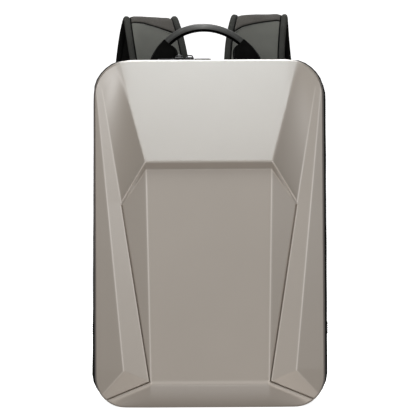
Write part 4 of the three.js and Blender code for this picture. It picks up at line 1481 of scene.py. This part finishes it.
def make_strap_end(side):
    name = SIDE_NAMES[side]
    strap = Strap(side)
    end, across, out, width, thick = strap.at(strap.length)
    down = (strap.path[-1] - strap.path[-2]).normalized()
    base_y = panel_high.y + GAP
    web_y = base_y + TAB_THICK + GAP + WEB_THICK / 2
    clear = BUCKLE_THICK / 2 + WEB_THICK / 2 + 0.8 * MM

    def spot(along, off, aside=0.0):
        """A place by the strap's end: along it, off its face and to the side."""
        return end + down * (along + GAP) + out * off + across * aside

    def tab_place(u, t, rise):
        half = blend(TAB_LOW_HALF, TAB_HIGH_HALF, t)
        return Vector((side * TAB_X + u * half, base_y + rise, TAB_LOW_Z + t * TAB_HEIGHT))

    make_buckle(name, spot, out, down)
    make_web(name, side, spot, clear, web_y)
    # The tab: a cloth wedge sewn to the foot of the back panel.
    rows = []
    for t in (r / 14 for r in range(15)):
        row = []
        for u in (c / 10 - 1 for c in range(21)):
            half = blend(TAB_LOW_HALF, TAB_HIGH_HALF, t)
            near = min((1 - abs(u)) * half, t * TAB_HEIGHT, (1 - t) * TAB_HEIGHT)
            dent = 0.35 * MM * bell(near, 4 * MM, 1.2 * MM)
            row.append(tab_place(u, t, TAB_THICK * (0.35 + 0.65 * quarter_round(near, 2.5 * MM)) - dent))
        rows.append(row)
    piece, node = f"anchor_tab_{name}", f"strap_anchor_{name}"
    add_side_cloth(piece, node, rows, ANCHOR_FABRIC, lambda face: BACKWARDS)
    # Stitches: round the tab, a crossed box through the webbing, and across the tail's hem.
    face_y = web_y + WEB_THICK / 2 + 0.1 * MM
    box = [Vector((side * TAB_X + x * MM, face_y, z * MM)) for x, z in WEB_BOX]
    hem_off = clear + MM + WEB_THICK * 0.9
    hem = [spot(BUCKLE_LENGTH + 56 * MM, hem_off, aside) for aside in (-11 * MM, 11 * MM)]
    paths = ([tab_place(u, t, TAB_THICK) for u, t in TAB_SEAM], box, [box[0], box[2]], [box[1], box[3]])
    seams = [(path, BACKWARDS) for path in paths] + [(hem, out)]
    add_stitches(f"anchor_stitches_{name}", "anchor_tab", seams, GREY_THREAD)


make_strap_end(-1)
make_strap_end(1)

# Camera
CAMERA_DISTANCE, CAMERA_X, CAMERA_Z = 2.2, 0.00104, 0.2559
CAMERA_ROLL = math.radians(0.3)
VIEW_WIDTH, SENSOR_WIDTH = 0.5481, 36
camera_data = bpy.data.cameras.new("camera")
camera_data.sensor_width = SENSOR_WIDTH
camera_data.lens = SENSOR_WIDTH * CAMERA_DISTANCE / VIEW_WIDTH
camera = put_in_scene("camera", camera_data)
camera.location = (CAMERA_X, RIM_Y - CAMERA_DISTANCE, CAMERA_Z)
camera.rotation_euler = (math.pi / 2, CAMERA_ROLL, 0)
bpy.context.scene.camera = camera

# Studio lights: name, place, what it faces, width, height, power and colour. The low ones stand for the
# light that a white floor throws back up.
PLAIN, COOL, WARM = (1, 1, 1), (0.922, 0.972, 0.984), (1.0, 0.9, 0.8)
FRONT, BACK, TOP = (0, -0.08, 0.24), (0, 0.1, 0.25), (0, -0.05, 0.45)
LIGHTS = (
    ("top_box", (0.0, -1.21, 2.36), FRONT, 0.9, 0.9, 16.4, COOL),
    ("high_box", (0.0, -1.6, 2.08), FRONT, 0.9, 0.9, 4.3, COOL),
    ("left_box", (-1.29, -2.07, 0.57), FRONT, 0.9, 0.9, 1.75, PLAIN),
    ("left_high", (-1.4, -1.75, 1.25), FRONT, 0.9, 0.9, 9.0, PLAIN),
    ("left_far", (-1.95, -1.44, 0.57), FRONT, 0.9, 0.9, 1.2, PLAIN),
    ("right_box", (1.29, -2.07, 0.57), FRONT, 0.9, 0.9, 1.4, PLAIN),
    ("right_high", (1.4, -1.75, 1.25), FRONT, 0.9, 0.9, 0.8, WARM),
    ("right_far", (1.95, -1.44, 0.57), FRONT, 0.9, 0.9, 3.2, PLAIN),
    ("right_side", (2.32, -0.57, 0.57), FRONT, 0.9, 0.9, 1.0, PLAIN),
    ("front_box", (0.0, -2.46, 0.57), FRONT, 0.9, 0.9, 1.9, PLAIN),
    ("low_left", (-1.13, -1.69, -1.14), FRONT, 0.9, 0.9, 5.0, WARM),
    ("low_right", (1.13, -1.69, -1.14), FRONT, 0.9, 0.9, 6.8, WARM),
    ("low_front", (0.0, -1.09, -1.94), FRONT, 0.9, 0.9, 3.3, PLAIN),
    ("low_mid", (0.0, -2.2, -0.89), FRONT, 0.9, 0.9, 1.4, PLAIN),
    ("rim_box", (0.0, 1.0, 2.4), TOP, 1.2, 0.8, 12.0, PLAIN),
    ("back_box", (0.0, 1.7, 1.9), BACK, 0.8, 0.6, 12.0, PLAIN),
    ("back_low", (0.0, 2.3, 0.1), BACK, 0.28, 0.9, 8.0, PLAIN),
)
for name, place, target, width, height, power, colour in LIGHTS:
    light = bpy.data.lights.new(name, "AREA")
    light.shape = "RECTANGLE"
    light.size, light.size_y = width, height
    light.energy = power
    light.color = colour
    softbox = put_in_scene(name, light)
    softbox.location = place
    softbox.visible_camera = False
    softbox.rotation_euler = (Vector(target) - Vector(place)).to_track_quat("-Z", "Y").to_euler()


# Floor and backdrop

def circle(radius, z, sides):
    turns = [math.tau * k / sides for k in range(sides)]
    return [(radius * math.cos(turn), radius * math.sin(turn), z) for turn in turns]


def stage_piece(name, points, faces, strength):
    """A pale surface that glows evenly and lights nothing."""
    material, tree, shader = new_material(name, Base_Color=(0.8, 0.8, 0.8, 1), Roughness=0.9,
                                          Emission_Color=(1, 1, 1, 1), Emission_Strength=strength)
    material.cycles.emission_sampling = "NONE"
    mesh = mesh_of(name, points, faces)
    mesh.materials.append(material)
    made = put_in_scene(name, mesh)
    made.visible_diffuse = False
    made.visible_glossy = False
    made.visible_shadow = False


STAGE_RADIUS = 9.0
FLOOR_GAP, FLOOR_SIDES, FLOOR_GLOW = 0.4 * MM, 64, 0.93
DOME_ROWS, DOME_SIDES, DOME_DROP, DOME_GLOW = 12, 48, 0.1, 1.0
stage_piece("floor", circle(STAGE_RADIUS, -FLOOR_GAP, FLOOR_SIDES), [tuple(range(FLOOR_SIDES))], FLOOR_GLOW)
dome_points, dome_rings = [], []
for r in range(DOME_ROWS + 1):
    lift = math.pi / 2 * r / DOME_ROWS
    rise = STAGE_RADIUS * math.sin(lift) - DOME_DROP
    dome_rings.append(range(r * DOME_SIDES, (r + 1) * DOME_SIDES))
    dome_points += circle(STAGE_RADIUS * math.cos(lift), rise, DOME_SIDES)
dome_faces = [face for near, far in zip(dome_rings, dome_rings[1:]) for face in band(near, far)]
stage_piece("backdrop", dome_points, dome_faces, DOME_GLOW)

world = bpy.data.worlds.new("studio")
bpy.context.scene.world = world
world.use_nodes = True
world.node_tree.nodes["Background"].inputs["Color"].default_value = (1, 1, 1, 1)
world.node_tree.nodes["Background"].inputs["Strength"].default_value = 0.2
bpy.context.scene.view_settings.view_transform = "Standard"
